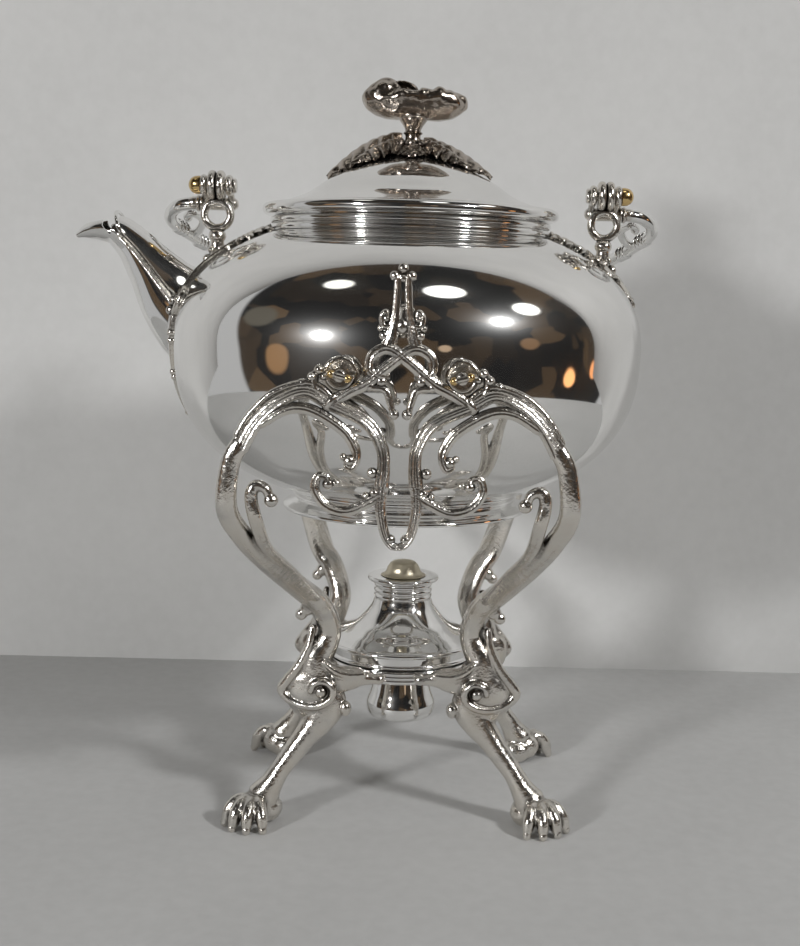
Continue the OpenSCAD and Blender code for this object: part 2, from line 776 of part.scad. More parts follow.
// Cast leaf that spreads from an ear down the shoulder
module ear_leaf(left) {
    color(silver)
        mirror([left ? 1 : 0, 0, 0])
            difference() {
                leaf_shape(left, 0);
                belly_solid(2.2 * seat, 60);
                translate([ear_reach, 0, 0])
                    cylinder(r = 3.4 + seat, h = ear_height, $fn = 24);
                translate([ear_reach, 0, ear_height - ear_radius - 1.2])
                    sphere(2.9 + 2 * seat, $fn = 24);
                cylinder(r = collar_radius + 2 * seat, h = 2 * neck_height, $fn = 60);
                translate([ear_reach, 0, ear_height])
                    rotate([90, 0, 0])
                        cylinder(r = ear_radius + seat, h = 3 * ear_tube, center = true, $fn = 32);
            }
}
module leaf_shape(left, grow) {
    inner = neck_radius + 0.6;
    outer = left ? belly_radius - 19 : belly_radius - 3;
    sweep([
        for (i = [0 : 5])
            let(r = inner + 1.6 + (outer - inner) * i / 5)
            let(half = 3 + 4.6 * sin(30 + 26 * i))
            [r, 0, shoulder_height(r) + 0.5, 1.9 - 0.12 * i + grow, half + grow]
    ], [0, 1, 0], 1, 8);
    for (s = [-1, 1], i = [0 : 3]) {
        r = inner + 5 + (outer - inner - 10) * i / 3;
        q = min(r + 4.4, belly_radius - 1);
        drop([r, s * 4.4, shoulder_height(r) + 0.4],
            [q, s * (7.6 - 0.9 * i), shoulder_height(q) + 0.4], 2 + grow, 1.5 + grow, 5);
    }
}

module at_trunnion(rear, left) {
    mirror([0, rear ? 1 : 0, 0])
        mirror([left ? 1 : 0, 0, 0])
            translate([trunnion_spread, 0, trunnion_height])
                rotate([90, 0, 0])
                    children();
}
module boss(rear, left) {
    start = frame_plane - frame_depth / 2 - 4.6;
    color(silver)
        difference() {
            at_trunnion(rear, left)
                rotate_extrude($fn = 48)
                    difference() {
                        union() {
                            translate([0, start - 6])
                                square([3.6, 7]);
                            translate([0, start + 0.7])
                                square([5.4, 2.6]);
                            translate([5.3, start + 2])
                                circle(1.3, $fn = 20);
                        }
                        translate([0, start + 2.4])
                            square([4.4, 4]);
                        translate([0, start - 7])
                            square([trunnion_radius, 12]);
                    }
            belly_solid(0);
        }
}
module pin(rear, left) {
    start = frame_plane - frame_depth / 2 - 4.6;
    reach = frame_plane + frame_depth / 2 + 1.6;
    color(gilt)
        difference() {
            at_trunnion(rear, left) {
                translate([0, 0, start - 6])
                    cylinder(r = trunnion_radius, h = reach - start + 6, $fn = 32);
                translate([0, 0, reach]) {
                    rotate([0, 0, 15])
                        rotate([0, 90, 0])
                            cylinder(r = 1, h = 5.8, center = true, $fn = 20);
                    for (s = [-1, 1])
                        rotate([0, 0, 15])
                            translate([2.9 * s, 0, 0])
                                sphere(1.45, $fn = 24);
                }
            }
            belly_solid(0);
        }
}

// --- Handle --------------------------------------------------------------

module bail() {
    r = bail_radius;
    z = hinge_height;
    color(silver)
        difference() {
            union() {
                both_sides()
                    bail_side(r, z);
                bail_grip(r);
            }
            // Joints with the knuckles' rods
            both_sides()
                translate([bar_end - 8, 0, z - 2 * bar_drop])
                    cube([8, 2 * bar_back, 2 * bar_drop]);
        }
}
module bail_grip(r) {
    sweep([
        [-28, grip_back, grip_height + 0.2, r, r],
        [-10, grip_back + 0.3, grip_height, r + 0.1, r + 0.1],
        [10, grip_back + 0.3, grip_height, r + 0.1, r + 0.1],
        [28, grip_back, grip_height + 0.2, r, r]
    ], [0, 1, 0], 1, 8);
}
module bail_side(r, z) {
    x = bar_end;
    sweep([
        [x - 1.5, bar_back, z - bar_drop, r, r],
        [x + 5.4, bar_back + 2, z - bar_drop - 0.8, r, r],
        [x + 10.6, bar_back + 8, z - bar_drop - 3.4, r, r],
        [x + 12, bar_back + 16, z - bar_drop - 7.2, r, r],
        [x + 8, bar_back + 31, z - bar_drop - 11.6, r, r],
        [x + 1.5, bar_back + 46, z - bar_drop - 16.6, r, r],
        [x - 8, bar_back + 61, z - bar_drop - 22.4, r, r],
        [x - 26, bar_back + 75, grip_height + 5.4, r, r],
        [x - 46, grip_back - 4, grip_height + 1.8, r, r],
        [28, grip_back, grip_height + 0.2, r, r]
    ], [0.2, 0.5, 1], 2, 8);
    // Inner scroll that springs from the arm
    sweep([
        [x + 7, bar_back + 34, z - bar_drop - 12.4, 1.8, 1.8],
        [x + 2, bar_back + 27, z - bar_drop - 9.4, 1.9, 1.9],
        [x - 0.6, bar_back + 18, z - bar_drop - 5.6, 1.8, 1.8],
        [x + 2.6, bar_back + 11.4, z - bar_drop - 3.6, 1.6, 1.6],
        [x + 5.4, bar_back + 13.6, z - bar_drop - 4.8, 1.3, 1.3]
    ], [0.2, 0.5, 1], 1, 6);
    drop([x + 5.2, bar_back + 14.4, z - bar_drop - 5.2], [x + 4.8, bar_back + 14.8, z - bar_drop - 5.4], 1.9, 1.7);
    // Collars on the arm
    for (p = [[x + 9.9, bar_back + 23.4, -9.4], [x + 4.2, bar_back + 40.6, -14.7]], k = [-1, 1])
        drop([p[0] - 0.9 * k, p[1] + 1.6 * k, z - bar_drop + p[2] - 0.5 * k],
            [p[0] - 1.4 * k, p[1] + 2.6 * k, z - bar_drop + p[2] - 0.8 * k], r + 0.9, r + 0.7, 4);
}

// Outer ribs of the hinge with the rod behind them, one casting
module knuckle(left) {
    z = hinge_height;
    color(silver)
        mirror([left ? 1 : 0, 0, 0])
            difference() {
                union() {
                    for (x = [rib_start, rib_start + 10.5])
                        translate([x, 0, z])
                            rotate([0, 90, 0])
                                knuckle_ribs(1, rib_small, 3);
                    for (x = [rib_start, rib_start + 10.5])
                        knuckle_lug(x);
                    translate([bar_start, bar_back, z - bar_drop])
                        rotate([0, 90, 0])
                            cylinder(r = bail_radius, h = bar_end - bar_start, $fn = 32);
                    translate([bar_start, bar_back, z - bar_drop])
                        sphere(bail_radius + 0.6, $fn = 32);
                    translate([bar_end - 4, bar_back, z - bar_drop])
                        rotate([0, 90, 0])
                            cylinder(r = bail_radius + 0.9, h = 2, $fn = 32);
                }
                translate([0, 0, z])
                    rotate([0, 90, 0])
                        cylinder(r = hinge_pin_radius, h = 2 * ear_reach, $fn = 32);
            }
}
module knuckle_lug(x) {
    length = norm([bar_back, bar_drop]);
    translate([x, 0, hinge_height])
        rotate([-atan2(bar_drop, bar_back), 0, 0])
            translate([0, hinge_pin_radius, -1.7])
                cube([3, length - hinge_pin_radius, 3.4]);
}
module hinge_pin(left) {
    start = rib_start - 1.4;
    cap = rib_start + 13.5;
    color(gilt)
        mirror([left ? 1 : 0, 0, 0])
            translate([0, 0, hinge_height])
                rotate([0, 90, 0])
                    rotate_extrude($fn = 32)
                        union() {
                            translate([0, rib_start])
                                square([hinge_pin_radius, cap - rib_start]);
                            translate([0, start])
                                square([3, rib_start - start]);
                            translate([0, cap])
                                square([3.7, 1.2]);
                            intersection() {
                                translate([0, cap + 1.2])
                                    circle(3.7, $fn = 32);
                                translate([0, cap + 1.2])
                                    square([3.7, 3.7]);
                            }
                        }
}

// --- Lid -----------------------------------------------------------------

module lid_flange() {
    inner = mouth_radius - bezel_clearance - wall;
    z = flange_bottom;
    color(silver)
        rotate_extrude($fn = turned_fn)
            union() {
                translate([inner, z - bezel_depth])
                    square([wall, bezel_depth + 1]);
                translate([inner, z])
                    square([neck_radius - inner, flange_height]);
                translate([neck_radius - 1, z + 0.7])
                    square([lid_radius - 2.2 - neck_radius + 1, flange_height - 0.7]);
                translate([lid_radius - 2.2, z + 2.9])
                    circle(2.2, $fn = 28);
                translate([lid_radius - 3.8, z + flange_height - 1.3])
                    circle(1.7, $fn = 20);
            }
}

// Concave cone of the lid, a raised sheet
function cone_line() = curve([
    [lid_radius - 5.4, flange_top],
    [lid_radius - 9, flange_top + 0.9],
    [lid_radius - 18.3, flange_top + cone_rise * 0.2],
    [lid_radius - 27, flange_top + cone_rise * 0.46],
    [24, flange_top + cone_rise * 0.68],
    [12, flange_top + cone_rise * 0.88],
    [stem_radius + 1.6, cone_top]
], 4);
module lid_cone() {
    line = cone_line();
    color(silver)
        rotate_extrude($fn = turned_fn)
            polygon(concat(
                line,
                [[0, cone_top], [0, cone_top - wall]],
                inner_line(line, wall, cone_top - wall),
                [[lid_radius - 10, flange_top]]
            ));
}

// Leaves of the finial, lying on the cone
function cone_height(r) = lookup(r, [for (p = cone_line()) p]);
// Point of a leaf at x, y, half thickness a and half width b, lying on the cone
function on_cone(x, y, a, b) = [x, y, cone_height(norm([x, y])) + 1.14 * a + 0.3, a, b];
module finial_leaves() {
    color(old_silver)
        difference() {
            union() {
                for (turn = [0, 180], s = [-1, 1])
                    rotate([0, 0, turn])
                        finial_leaf(s);
                for (turn = [90, 270])
                    rotate([0, 0, turn])
                        sweep([on_cone(3, 0, 1.2, 3), on_cone(9, 0, 1.4, 5), on_cone(18, 0, 0.8, 2.4)],
                            [0, 1, 0], 2, 6);
                translate([0, 0, cone_top])
                    cylinder(r = 8, h = 1.6, $fn = 20);
                for (i = [0 : 7])
                    let(a = 45 * i + 22.5)
                    drop([5.6 * cos(a), 5.6 * sin(a), cone_top + 2],
                        [10 * cos(a), 10 * sin(a), cone_top + 1.2], 2, 1.4, 5);
            }
            translate([0, 0, cone_top - 2])
                cylinder(r = stem_radius + 2 * seat, h = 20, $fn = 20);
            translate([0, 0, cone_top - 9.97])
                cylinder(r = 9, h = 10, $fn = 24);
        }
}
module finial_leaf(s) {
    sweep([
        on_cone(5, s * 1.5, 1.2, 3),
        on_cone(11, s * 3.4, 1.8, 5),
        on_cone(18, s * 4.8, 1.8, 6),
        on_cone(25.5, s * 4.4, 1.5, 4.6),
        on_cone(33.4, s * 1.6, 0.9, 1.6)
    ], [0, 1, 0.15 * s], 2, 6);
}
module finial_stem() {
    r = stem_radius;
    z = cone_top;
    color(old_silver)
        rotate_extrude($fn = 48)
            polygon([
                [0, z], [r, z], [r, z + 4], [r - 0.6, z + 6], [r - 1, z + 9],
                [r - 0.4, z + 12], [r + 1, z + stem_height], [0, z + stem_height]
            ]);
}
// Open flower: two rolled lobes round a core of petals
module finial_bud() {
    z = cone_top + stem_height;
    color(old_silver)
        difference() {
            union() {
                sweep([
                    [-13.4, 0, z + 14.4, 1.6, 4],
                    [-17.8, 0, z + 12.4, 2.4, 5.4],
                    [-15.4, 0, z + 8.6, 3.8, 7.4],
                    [-8, 0, z + 4.4, 3.6, 7.6],
                    [0, 0, z + 2.4, 3, 6],
                    [8, 0, z + 4.4, 3.6, 7.6],
                    [14, 0, z + 6.6, 3.6, 7.4],
                    [19.4, 0, z + 8.6, 2.4, 5],
                    [18, 0, z + 11, 1.4, 3]
                ], [0, 1, 0], 1, 8);
                ball([-9, 0, z + 11.6], 3.6, 8);
                for (i = [0 : 7])
                    let(a = 45 * i + 22.5)
                    drop([3 * cos(a), 3 * sin(a), z + 1.6],
                        [9 * cos(a), 7.4 * sin(a), z + 7 + cos(2 * a)], 3, 3.4, 6);
                drop([0, 0, z + 3], [0, 0, z + 7], 5, 4.6, 8);
            }
            translate([0, 0, z - 19.95])
                cylinder(r = 24, h = 20, $fn = 24);
        }
}

// --- Burner --------------------------------------------------------------

module burner_bowl() {
    r = bowl_radius;
    z = ring_height;
    color(silver)
        rotate_extrude($fn = turned_fn)
            union() {
                difference() {
                    polygon([
                        [0, z - 6.5], [burner_neck - 0.3, z - 6.5], [r - 0.4, z - 0.8], [r, z],
                        [r, ring_top + 0.3], [r + 1.4, ring_top + 0.3],
                        [r + 1.4, bowl_top], [0, bowl_top]
                    ]);
                    polygon([
                        [0, z - 5.5], [burner_neck - 0.8, z - 5.5], [r - 1.4, z - 0.2],
                        [r - bowl_wall, z], [r - bowl_wall, bowl_top + 1], [0, bowl_top + 1]
                    ]);
                }
                translate([r + 1.1, ring_top + 1.2])
                    circle(0.9, $fn = 16);
                translate([r + 0.2, bowl_top - 2])
                    square([rim_radius - r - 0.9, 2]);
                translate([rim_radius - 1, bowl_top - 1])
                    circle(1, $fn = 16);
            }
}
module burner_cup() {
    top = ring_height - 6.5;
    low = ring_top - bowl_depth - ring_depth;
    r = burner_neck;
    color(silver)
        rotate_extrude($fn = turned_fn)
            polygon([
                [0, top], [r - 0.6, top], [r, top - 2], [r + 0.6, top - 5], [r + 2.2, top - 9],
                [r + 2.7, top - 12], [r + 1.9, low + 1.4], [r + 0.7, low], [0, low]
            ]);
}
module burner_cover() {
    z = bowl_top;
    line = curve([
        [rim_radius - 0.8, z], [rim_radius - 5.8, z + cover_rise * 0.15],
        [rim_radius - 12.8, z + cover_rise * 0.36],
        [burner_neck + 1.8, z + cover_rise * 0.76], [burner_neck, cover_top]
    ], 4);
    color(silver)
        rotate_extrude($fn = turned_fn)
            polygon(concat(
                line,
                [[wick_radius, cover_top], [wick_radius, cover_top - bowl_wall]],
                inner_line(line, bowl_wall, cover_top - bowl_wall),
                [[rim_radius - 4, z]]
            ));
}
module burner_neck_ring() {
    r = burner_neck;
    color(silver)
        rotate_extrude($fn = turned_fn)
            union() {
                translate([r - 2, cover_top])
                    square([1.4, neck_top - cover_top]);
                for (i = [0 : 2])
                    translate([r - 1, cover_top + 1.3 + 2.5 * i])
                        circle(1.25, $fn = 20);
            }
}
module wick_tube() {
    color(silver)
        rotate_extrude($fn = 48)
            translate([wick_radius - bowl_wall, cover_top - 8])
                square([bowl_wall, neck_top - cover_top + 9]);
}
module wick() {
    color(cotton)
        translate([0, 0, cover_top - 7])
            cylinder(r = wick_radius - bowl_wall, h = neck_top - cover_top + 10, $fn = 32);
}
module snuffer_brim_plate() {
    r = snuffer_brim;
    color(silver)
        rotate_extrude($fn = turned_fn)
            union() {
                translate([wick_radius + 2.6, brim_bottom])
                    square([r - 1 - wick_radius - 2.6, 2]);
                translate([r - 1, brim_bottom + 1])
                    circle(1, $fn = 16);
                translate([burner_neck - 3.2, brim_bottom - 2.4])
                    square([0.8, 2.6]);
            }
}
module snuffer_dome() {
    r = wick_radius + 4.7;
    rise = snuffer_rise;
    color(old_silver)
        rotate_extrude($fn = turned_fn)
            difference() {
                dome_half(r, rise);
                dome_half(r - bowl_wall, rise - bowl_wall);
            }
}
module dome_half(r, rise) {
    polygon(concat(
        [[0, brim_top]],
        curve([[r, brim_top], [r - 1.3, brim_top + 0.5], [r - 2.3, brim_top + rise * 0.28],
            [r - 3.1, brim_top + rise * 0.58], [r - 5.1, brim_top + rise * 0.89],
            [0, brim_top + rise]], 4)
    ));
}

color(silver) leg(false, true);  // leg_front_left
color(silver) leg(false, false);  // leg_front_right
color(silver) leg(true, true);  // leg_rear_left
color(silver) leg(true, false);  // leg_rear_right
color(silver) frame_side(false);  // frame_front
color(silver) frame_side(true);  // frame_rear
color(silver) lance(false);  // lance_front
color(silver) lance(true);  // lance_rear
color(silver) hanger(false);  // hanger_front
color(silver) hanger(true);  // hanger_rear
burner_ring();
color(silver) saddle(false, true);  // saddle_front_left
color(silver) saddle(false, false);  // saddle_front_right
color(silver) saddle(true, true);  // saddle_rear_left
color(silver) saddle(true, false);  // saddle_rear_right
kettle_body();
foot_ring();
collar_ring();
spout();
spout_strap(false);  // spout_strap_front
spout_strap(true);  // spout_strap_rear
ear(true);  // ear_left
ear(false);  // ear_right
ear_leaf(true);  // ear_leaf_left
ear_leaf(false);  // ear_leaf_right
boss(false, true);  // boss_front_left
boss(false, false);  // boss_front_right
boss(true, true);  // boss_rear_left
boss(true, false);  // boss_rear_right
pin(false, true);  // pin_front_left
pin(false, false);  // pin_front_right
pin(true, true);  // pin_rear_left
pin(true, false);  // pin_rear_right
bail();
knuckle(true);  // knuckle_left
knuckle(false);  // knuckle_right
hinge_pin(true);  // hinge_pin_left
hinge_pin(false);  // hinge_pin_right
lid_flange();
lid_cone();
finial_leaves();
finial_stem();
finial_bud();
burner_bowl();
burner_cup();
burner_cover();
burner_neck_ring();
wick_tube();
wick();
snuffer_brim_plate();
snuffer_dome();
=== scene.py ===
import math

import bmesh
import bpy
from mathutils import Matrix, Vector, noise


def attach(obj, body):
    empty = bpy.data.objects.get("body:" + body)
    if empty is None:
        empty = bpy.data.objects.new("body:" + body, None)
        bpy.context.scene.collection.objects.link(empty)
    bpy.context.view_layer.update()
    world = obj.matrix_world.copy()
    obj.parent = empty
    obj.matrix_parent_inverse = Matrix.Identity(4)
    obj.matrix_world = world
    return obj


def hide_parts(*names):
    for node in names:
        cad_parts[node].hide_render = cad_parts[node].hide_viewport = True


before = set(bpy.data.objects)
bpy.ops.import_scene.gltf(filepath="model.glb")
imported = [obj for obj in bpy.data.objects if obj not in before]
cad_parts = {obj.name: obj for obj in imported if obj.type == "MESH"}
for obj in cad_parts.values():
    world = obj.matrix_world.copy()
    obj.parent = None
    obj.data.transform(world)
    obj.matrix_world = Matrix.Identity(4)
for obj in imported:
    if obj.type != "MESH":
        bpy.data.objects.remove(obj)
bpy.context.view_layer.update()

mm = 0.001
front = Vector((0, 1, 0))
side = Vector((1, 0, 0))
up = Vector((0, 0, 1))
flanks = (("front", 1), ("rear", -1))
hands = (("left", -1), ("right", 1))

# Sizes in millimetres, the same as the frame's
kettle = {
    "radius": 97.3, "widest": 197, "rise": 53.2, "drop": 65.8,
    "shoulderPower": 2.23, "bowlPower": 2.49, "wall": 1.2,
    "neck": 57, "mouth": 54, "bottom": 137.3, "footRadius": 50, "footDrop": 9.5, "collar": 6,
}
lid = {"radius": 61.3, "flange": 5, "rise": 22.5, "bezel": 5, "gap": 0.4, "stem": 4.8, "stemHeight": 14.8}
hinge = {"reach": 80.5, "ring": 7.1, "tube": 1.67, "rise": 18, "small": 4.4, "large": 6.2, "pin": 2,
         "back": 8, "drop": 7, "inward": 6.5, "outward": 11.5}
handle = {"bar": 2.7, "reach": 102.3, "angle": 22.3}
stand = {
    "plane": 104, "depth": 4.2, "spread": 54, "height": 167, "paw": 61, "pawBack": 39,
    "trunnion": 190.5, "apart": 21, "lance": 28,
    "ring": 33.5, "band": 3, "ringHeight": 58.5, "ringDepth": 5,
}
burner = {"bowl": 30.15, "rise": 7, "depth": 23.5, "cover": 17, "neck": 12.3, "wick": 5, "brim": 15.3,
          "dome": 6.6}
polished = {"colour": (0.93, 0.925, 0.91), "shine": 0.05, "haze": 0.07, "hazeRoughness": 0.3}
# The darker second colour of each cast finish is painted shade, laid into its hollows
cast = {"colour": (0.81, 0.785, 0.74), "hollowShade": (0.034, 0.026, 0.018), "shine": 0.2, "grain": 0.8}
aged = {"colour": (0.50, 0.45, 0.40), "hollowShade": (0.03, 0.02, 0.014), "shine": 0.2, "grain": 0.8}
gilt = {"colour": (0.80, 0.58, 0.27), "hollowShade": (0.16, 0.08, 0.02), "shine": 0.2, "grain": 0.2}
dull = {"colour": (0.72, 0.66, 0.52), "hollowShade": (0.2, 0.16, 0.1), "shine": 0.36, "grain": 0.4}
room = {
    "bright": 0.47, "dark": 0.012, "shelf": (0.10, 0.066, 0.038), "air": 0.42,
    "table": (0.50, 0.50, 0.495), "tableRadius": 0.61, "tableBack": 0.19,
    "wall": (0.65, 0.65, 0.64), "wallReach": 1.5,
    # Azimuth from the front, height above the horizon, half width in degrees, colour
    "lamps": [(35, 68, 7, (2.6, 2.6, 2.5)), (72, 41, 6, (2.6, 2.6, 2.5)),
              (-70, 66, 5, (1.6, 1.6, 1.5)), (84, -9, 3.5, (1.6, 0.75, 0.3)),
              (100, -6, 2.4, (1.2, 0.5, 0.2)), (18, 4, 3, (0.5, 0.36, 0.24)),
              (-62, -4, 6, (0.30, 0.17, 0.08)), (60, 8, 5, (0.22, 0.13, 0.07)),
              (-78, 24, 9, (0.11, 0.10, 0.08))],
    "keyLamps": [("LampLeft", -39, 12), ("LampRight", 48, 30)],
    "keyReach": 1.6, "keySize": 0.2, "keyWatts": 12,
}
view = {"lens": 58.5, "shift": -0.0678, "place": (0.0118, -0.5514, 0.2233), "turn": -0.94, "tilt": 81.65,
        "roll": 1.58}

neckHeight = kettle["widest"] + kettle["rise"] * (1 - (kettle["neck"] / kettle["radius"])
                                                ** kettle["shoulderPower"]) ** (1 / kettle["shoulderPower"])
collarTop = neckHeight + kettle["collar"]
flangeBottom = collarTop + 0.3
flangeTop = flangeBottom + lid["flange"]
coneTop = flangeTop + lid["rise"]
hingeHeight = neckHeight + hinge["rise"]
earHeight = hingeHeight - hinge["small"] - 0.4 - hinge["ring"]
crest = stand["trunnion"] + 8
lanceTop = crest + stand["lance"]
ringTop = stand["ringHeight"] + stand["ringDepth"]
bowlTop = ringTop + burner["rise"]
rimRadius = burner["bowl"] + 2.6
coverTop = bowlTop + burner["cover"]
neckTop = coverTop + 7.6
spoutTip = -138
flowerSeed = 11
gripBack = handle["reach"] * math.cos(math.radians(handle["angle"]))
gripHeight = hingeHeight - handle["reach"] * math.sin(math.radians(handle["angle"]))


# Making meshes

def smoothLine(points, steps):
    line = []
    last = len(points) - 1
    for i in range(last):
        a, b, c, d = points[max(i - 1, 0)], points[i], points[i + 1], points[min(i + 2, last)]
        for k in range(steps):
            t = k / steps
            line.append([0.5 * (2 * q + (r - p) * t + (2 * p - 5 * q + 4 * r - s) * t * t
                                + (3 * q - p - 3 * r + s) * t ** 3) for p, q, r, s in zip(a, b, c, d)])
    line.append(list(points[-1]))
    return line


def newShape():
    return {"points": [], "faces": []}


def roundOutline(count=20):
    return [(math.cos(2 * math.pi * j / count), math.sin(2 * math.pi * j / count)) for j in range(count)]


def addRings(shape, rings, closed=False, startTip=None, endTip=None):
    start = len(shape["points"])
    count = len(rings[0])
    for ring in rings:
        shape["points"].extend(ring)
    for i in range(len(rings) if closed else len(rings) - 1):
        a = start + i * count
        b = start + (i + 1) % len(rings) * count
        for j in range(count):
            k = (j + 1) % count
            shape["faces"].append((a + j, a + k, b + k, b + j))
    if closed:
        return
    for tip, base in ((startTip, start), (endTip, start + (len(rings) - 1) * count)):
        if tip is None:
            shape["faces"].append(tuple(base + j for j in range(count)))
        else:
            shape["points"].append(tip)
            end = len(shape["points"]) - 1
            shape["faces"].extend((base + j, base + (j + 1) % count, end) for j in range(count))


def addBar(shape, points, across, outline, steps=6, domes=(True, True)):
    # Each point is x, y, z, half width, half depth
    path = smoothLine(points, steps)
    last = len(path) - 1
    rings = []
    tips = [None, None]
    for i, p in enumerate(path):
        before, after = path[max(i - 1, 0)], path[min(i + 1, last)]
        ahead = (Vector(after[:3]) - Vector(before[:3])).normalized()
        u = ahead.cross(across).normalized()
        v = ahead.cross(u)
        centre = Vector(p[:3])
        ring = [centre + u * (p[3] * a) + v * (p[4] * b) for a, b in outline]
        small = min(p[3], p[4])
        caps = []
        if (i == 0 and domes[0]) or (i == last and domes[1]):
            turn = -1 if i == 0 else 1
            for angle in (25, 50, 70):
                s, c = math.sin(math.radians(angle)), math.cos(math.radians(angle))
                middle = centre + ahead * (turn * small * s)
                caps.append([middle + (q - centre) * c for q in ring])
            tips[0 if i == 0 else 1] = centre + ahead * (turn * small)
        if i == 0:
            rings.extend(reversed(caps))
        rings.append(ring)
        if i == last:
            rings.extend(caps)
    addRings(shape, rings, False, tips[0], tips[1])


def addBall(shape, centre, size, turn=None, count=20):
    size = (size, size, size) if isinstance(size, (int, float)) else size
    turn = turn or Matrix.Identity(3)
    centre = Vector(centre)
    rings = []
    half = count // 2
    for i in range(1, half):
        lift = math.pi * i / half
        rings.append([centre + turn @ Vector((size[0] * math.sin(lift) * c, size[1] * math.sin(lift) * s,
                                              size[2] * math.cos(lift))) for c, s in roundOutline(count)])
    addRings(shape, rings, False, centre + turn @ Vector((0, 0, size[2])),
             centre - turn @ Vector((0, 0, size[2])))


def addBalls(shape, balls):
    for centre, size in balls:
        addBall(shape, centre, size)


def eased(profile, radius, closed=False, steps=4):
    # The corners of a turned outline, rounded
    line = []
    count = len(profile)
    for i, p in enumerate(profile):
        if p[0] < 0.001 or (not closed and i in (0, count - 1)):
            line.append(tuple(p))
            continue
        here = Vector(p)
        a = Vector(profile[i - 1]) - here
        b = Vector(profile[(i + 1) % count]) - here
        cut = min(radius, a.length * 0.45, b.length * 0.45)
        start, end = here + a.normalized() * cut, here + b.normalized() * cut
        for k in range(steps + 1):
            t = k / steps
            line.append(tuple(start * (1 - t) ** 2 + here * (2 * t * (1 - t)) + end * t * t))
    return line


def arcLine(centre, radius, start, end, steps=10):
    return [(centre[0] + radius * math.cos(math.radians(start + (end - start) * i / steps)),
             centre[1] + radius * math.sin(math.radians(start + (end - start) * i / steps)))
            for i in range(steps + 1)]


def addTurned(shape, profile, place=None, steps=128):
    # A profile that starts and ends on the axis is closed by its poles, another one by itself
    place = place or Matrix.Identity(4)
    poles = profile[0][0] < 0.001
    inside = profile[1:-1] if poles else profile
    rings = [[place @ Vector((r * c, r * s, z)) for c, s in roundOutline(steps)] for r, z in inside]
    if poles:
        addRings(shape, rings, False, place @ Vector((0, 0, profile[0][1])),
                 place @ Vector((0, 0, profile[-1][1])))
    else:
        addRings(shape, rings, True)


def addSheet(shape, grid, thick):
    # A closed leaf from a grid of points; thick gives its thickness at a row and column
    rows, columns = len(grid), len(grid[0])
    faces = ([], [])
    for i in range(rows):
        for j in range(columns):
            along = grid[min(i + 1, rows - 1)][j] - grid[max(i - 1, 0)][j]
            over = grid[i][min(j + 1, columns - 1)] - grid[i][max(j - 1, 0)]
            normal = along.cross(over)
            normal = normal.normalized() if normal.length > 1e-9 else up
            half = thick(i / (rows - 1), j / (columns - 1)) / 2
            faces[0].append(grid[i][j] + normal * half)
            faces[1].append(grid[i][j] - normal * half)
    start = len(shape["points"])
    shape["points"].extend(faces[0] + faces[1])
    under = start + rows * columns
    for i in range(rows - 1):
        for j in range(columns - 1):
            a = i * columns + j
            quad = (a, a + 1, a + columns + 1, a + columns)
            shape["faces"].append(tuple(start + q for q in quad))
            shape["faces"].append(tuple(under + q for q in reversed(quad)))
    rim = ([(0, j) for j in range(columns)] + [(i, columns - 1) for i in range(1, rows)]
           + [(rows - 1, j) for j in range(columns - 2, -1, -1)] + [(i, 0) for i in range(rows - 2, 0, -1)])
    rim = [i * columns + j for i, j in rim]
    for a, b in zip(rim, rim[1:] + rim[:1]):
        shape["faces"].append((start + b, start + a, under + a, under + b))


def turnedOver(shape, sx, sy):
    points = [Vector((p[0] * sx, p[1] * sy, p[2])) for p in shape["points"]]
    faces = [tuple(reversed(f)) for f in shape["faces"]] if sx * sy < 0 else list(shape["faces"])
    return {"points": points, "faces": faces}


def joined(*shapes):
    whole = newShape()
    for shape in shapes:
        start = len(whole["points"])
        whole["points"].extend(shape["points"])
        whole["faces"].extend(tuple(start + i for i in face) for face in shape["faces"])
    return whole


def bothHalves(half):
    return joined(half, turnedOver(half, -1, 1))


def newObject(name, shape, clean=True):
    mesh = bpy.data.meshes.new(name)
    mesh.from_pydata([Vector(p) * mm for p in shape["points"]], [], shape["faces"])
    build = bmesh.new()
    build.from_mesh(mesh)
    if clean:
        bmesh.ops.remove_doubles(build, verts=build.verts, dist=0.000002)
        bmesh.ops.dissolve_degenerate(build, edges=build.edges, dist=0.000001)
    bmesh.ops.recalc_face_normals(build, faces=build.faces)
    build.to_mesh(mesh)
    build.free()
    made = bpy.data.objects.new(name, mesh)
    bpy.context.collection.objects.link(made)
    return made


def makeActive(piece):
    bpy.ops.object.select_all(action="DESELECT")
    piece.select_set(True)
    bpy.context.view_layer.objects.active = piece


def makePiece(name, shape, look, body, nodes=(), smooth=35):
    piece = newObject(name, shape)
    piece.data.materials.append(look)
    makeActive(piece)
    bpy.ops.object.shade_smooth_by_angle(angle=math.radians(smooth))
    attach(piece, body)
    if nodes:
        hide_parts(*nodes)
    return piece


def weld(piece, voxel, rounds):
    # One casting out of several forms, its joints softened
    remesh = piece.modifiers.new("Remesh", "REMESH")
    remesh.mode = "VOXEL"
    remesh.voxel_size = voxel * mm
    soften = piece.modifiers.new("Soften", "SMOOTH")
    soften.factor = 0.5
    soften.iterations = rounds
    makeActive(piece)
    bpy.ops.object.modifier_apply(modifier="Remesh")
    bpy.ops.object.modifier_apply(modifier="Soften")
    bpy.ops.object.shade_smooth()


def cutAway(piece, shape):
    cutter = newObject("Cutter", shape, False)
    cut = piece.modifiers.new("Cut", "BOOLEAN")
    cut.operation = "DIFFERENCE"
    cut.solver = "EXACT"
    cut.object = cutter
    makeActive(piece)
    bpy.ops.object.modifier_apply(modifier="Cut")
    bpy.data.objects.remove(cutter)
    bpy.ops.object.shade_smooth_by_angle(angle=math.radians(40))


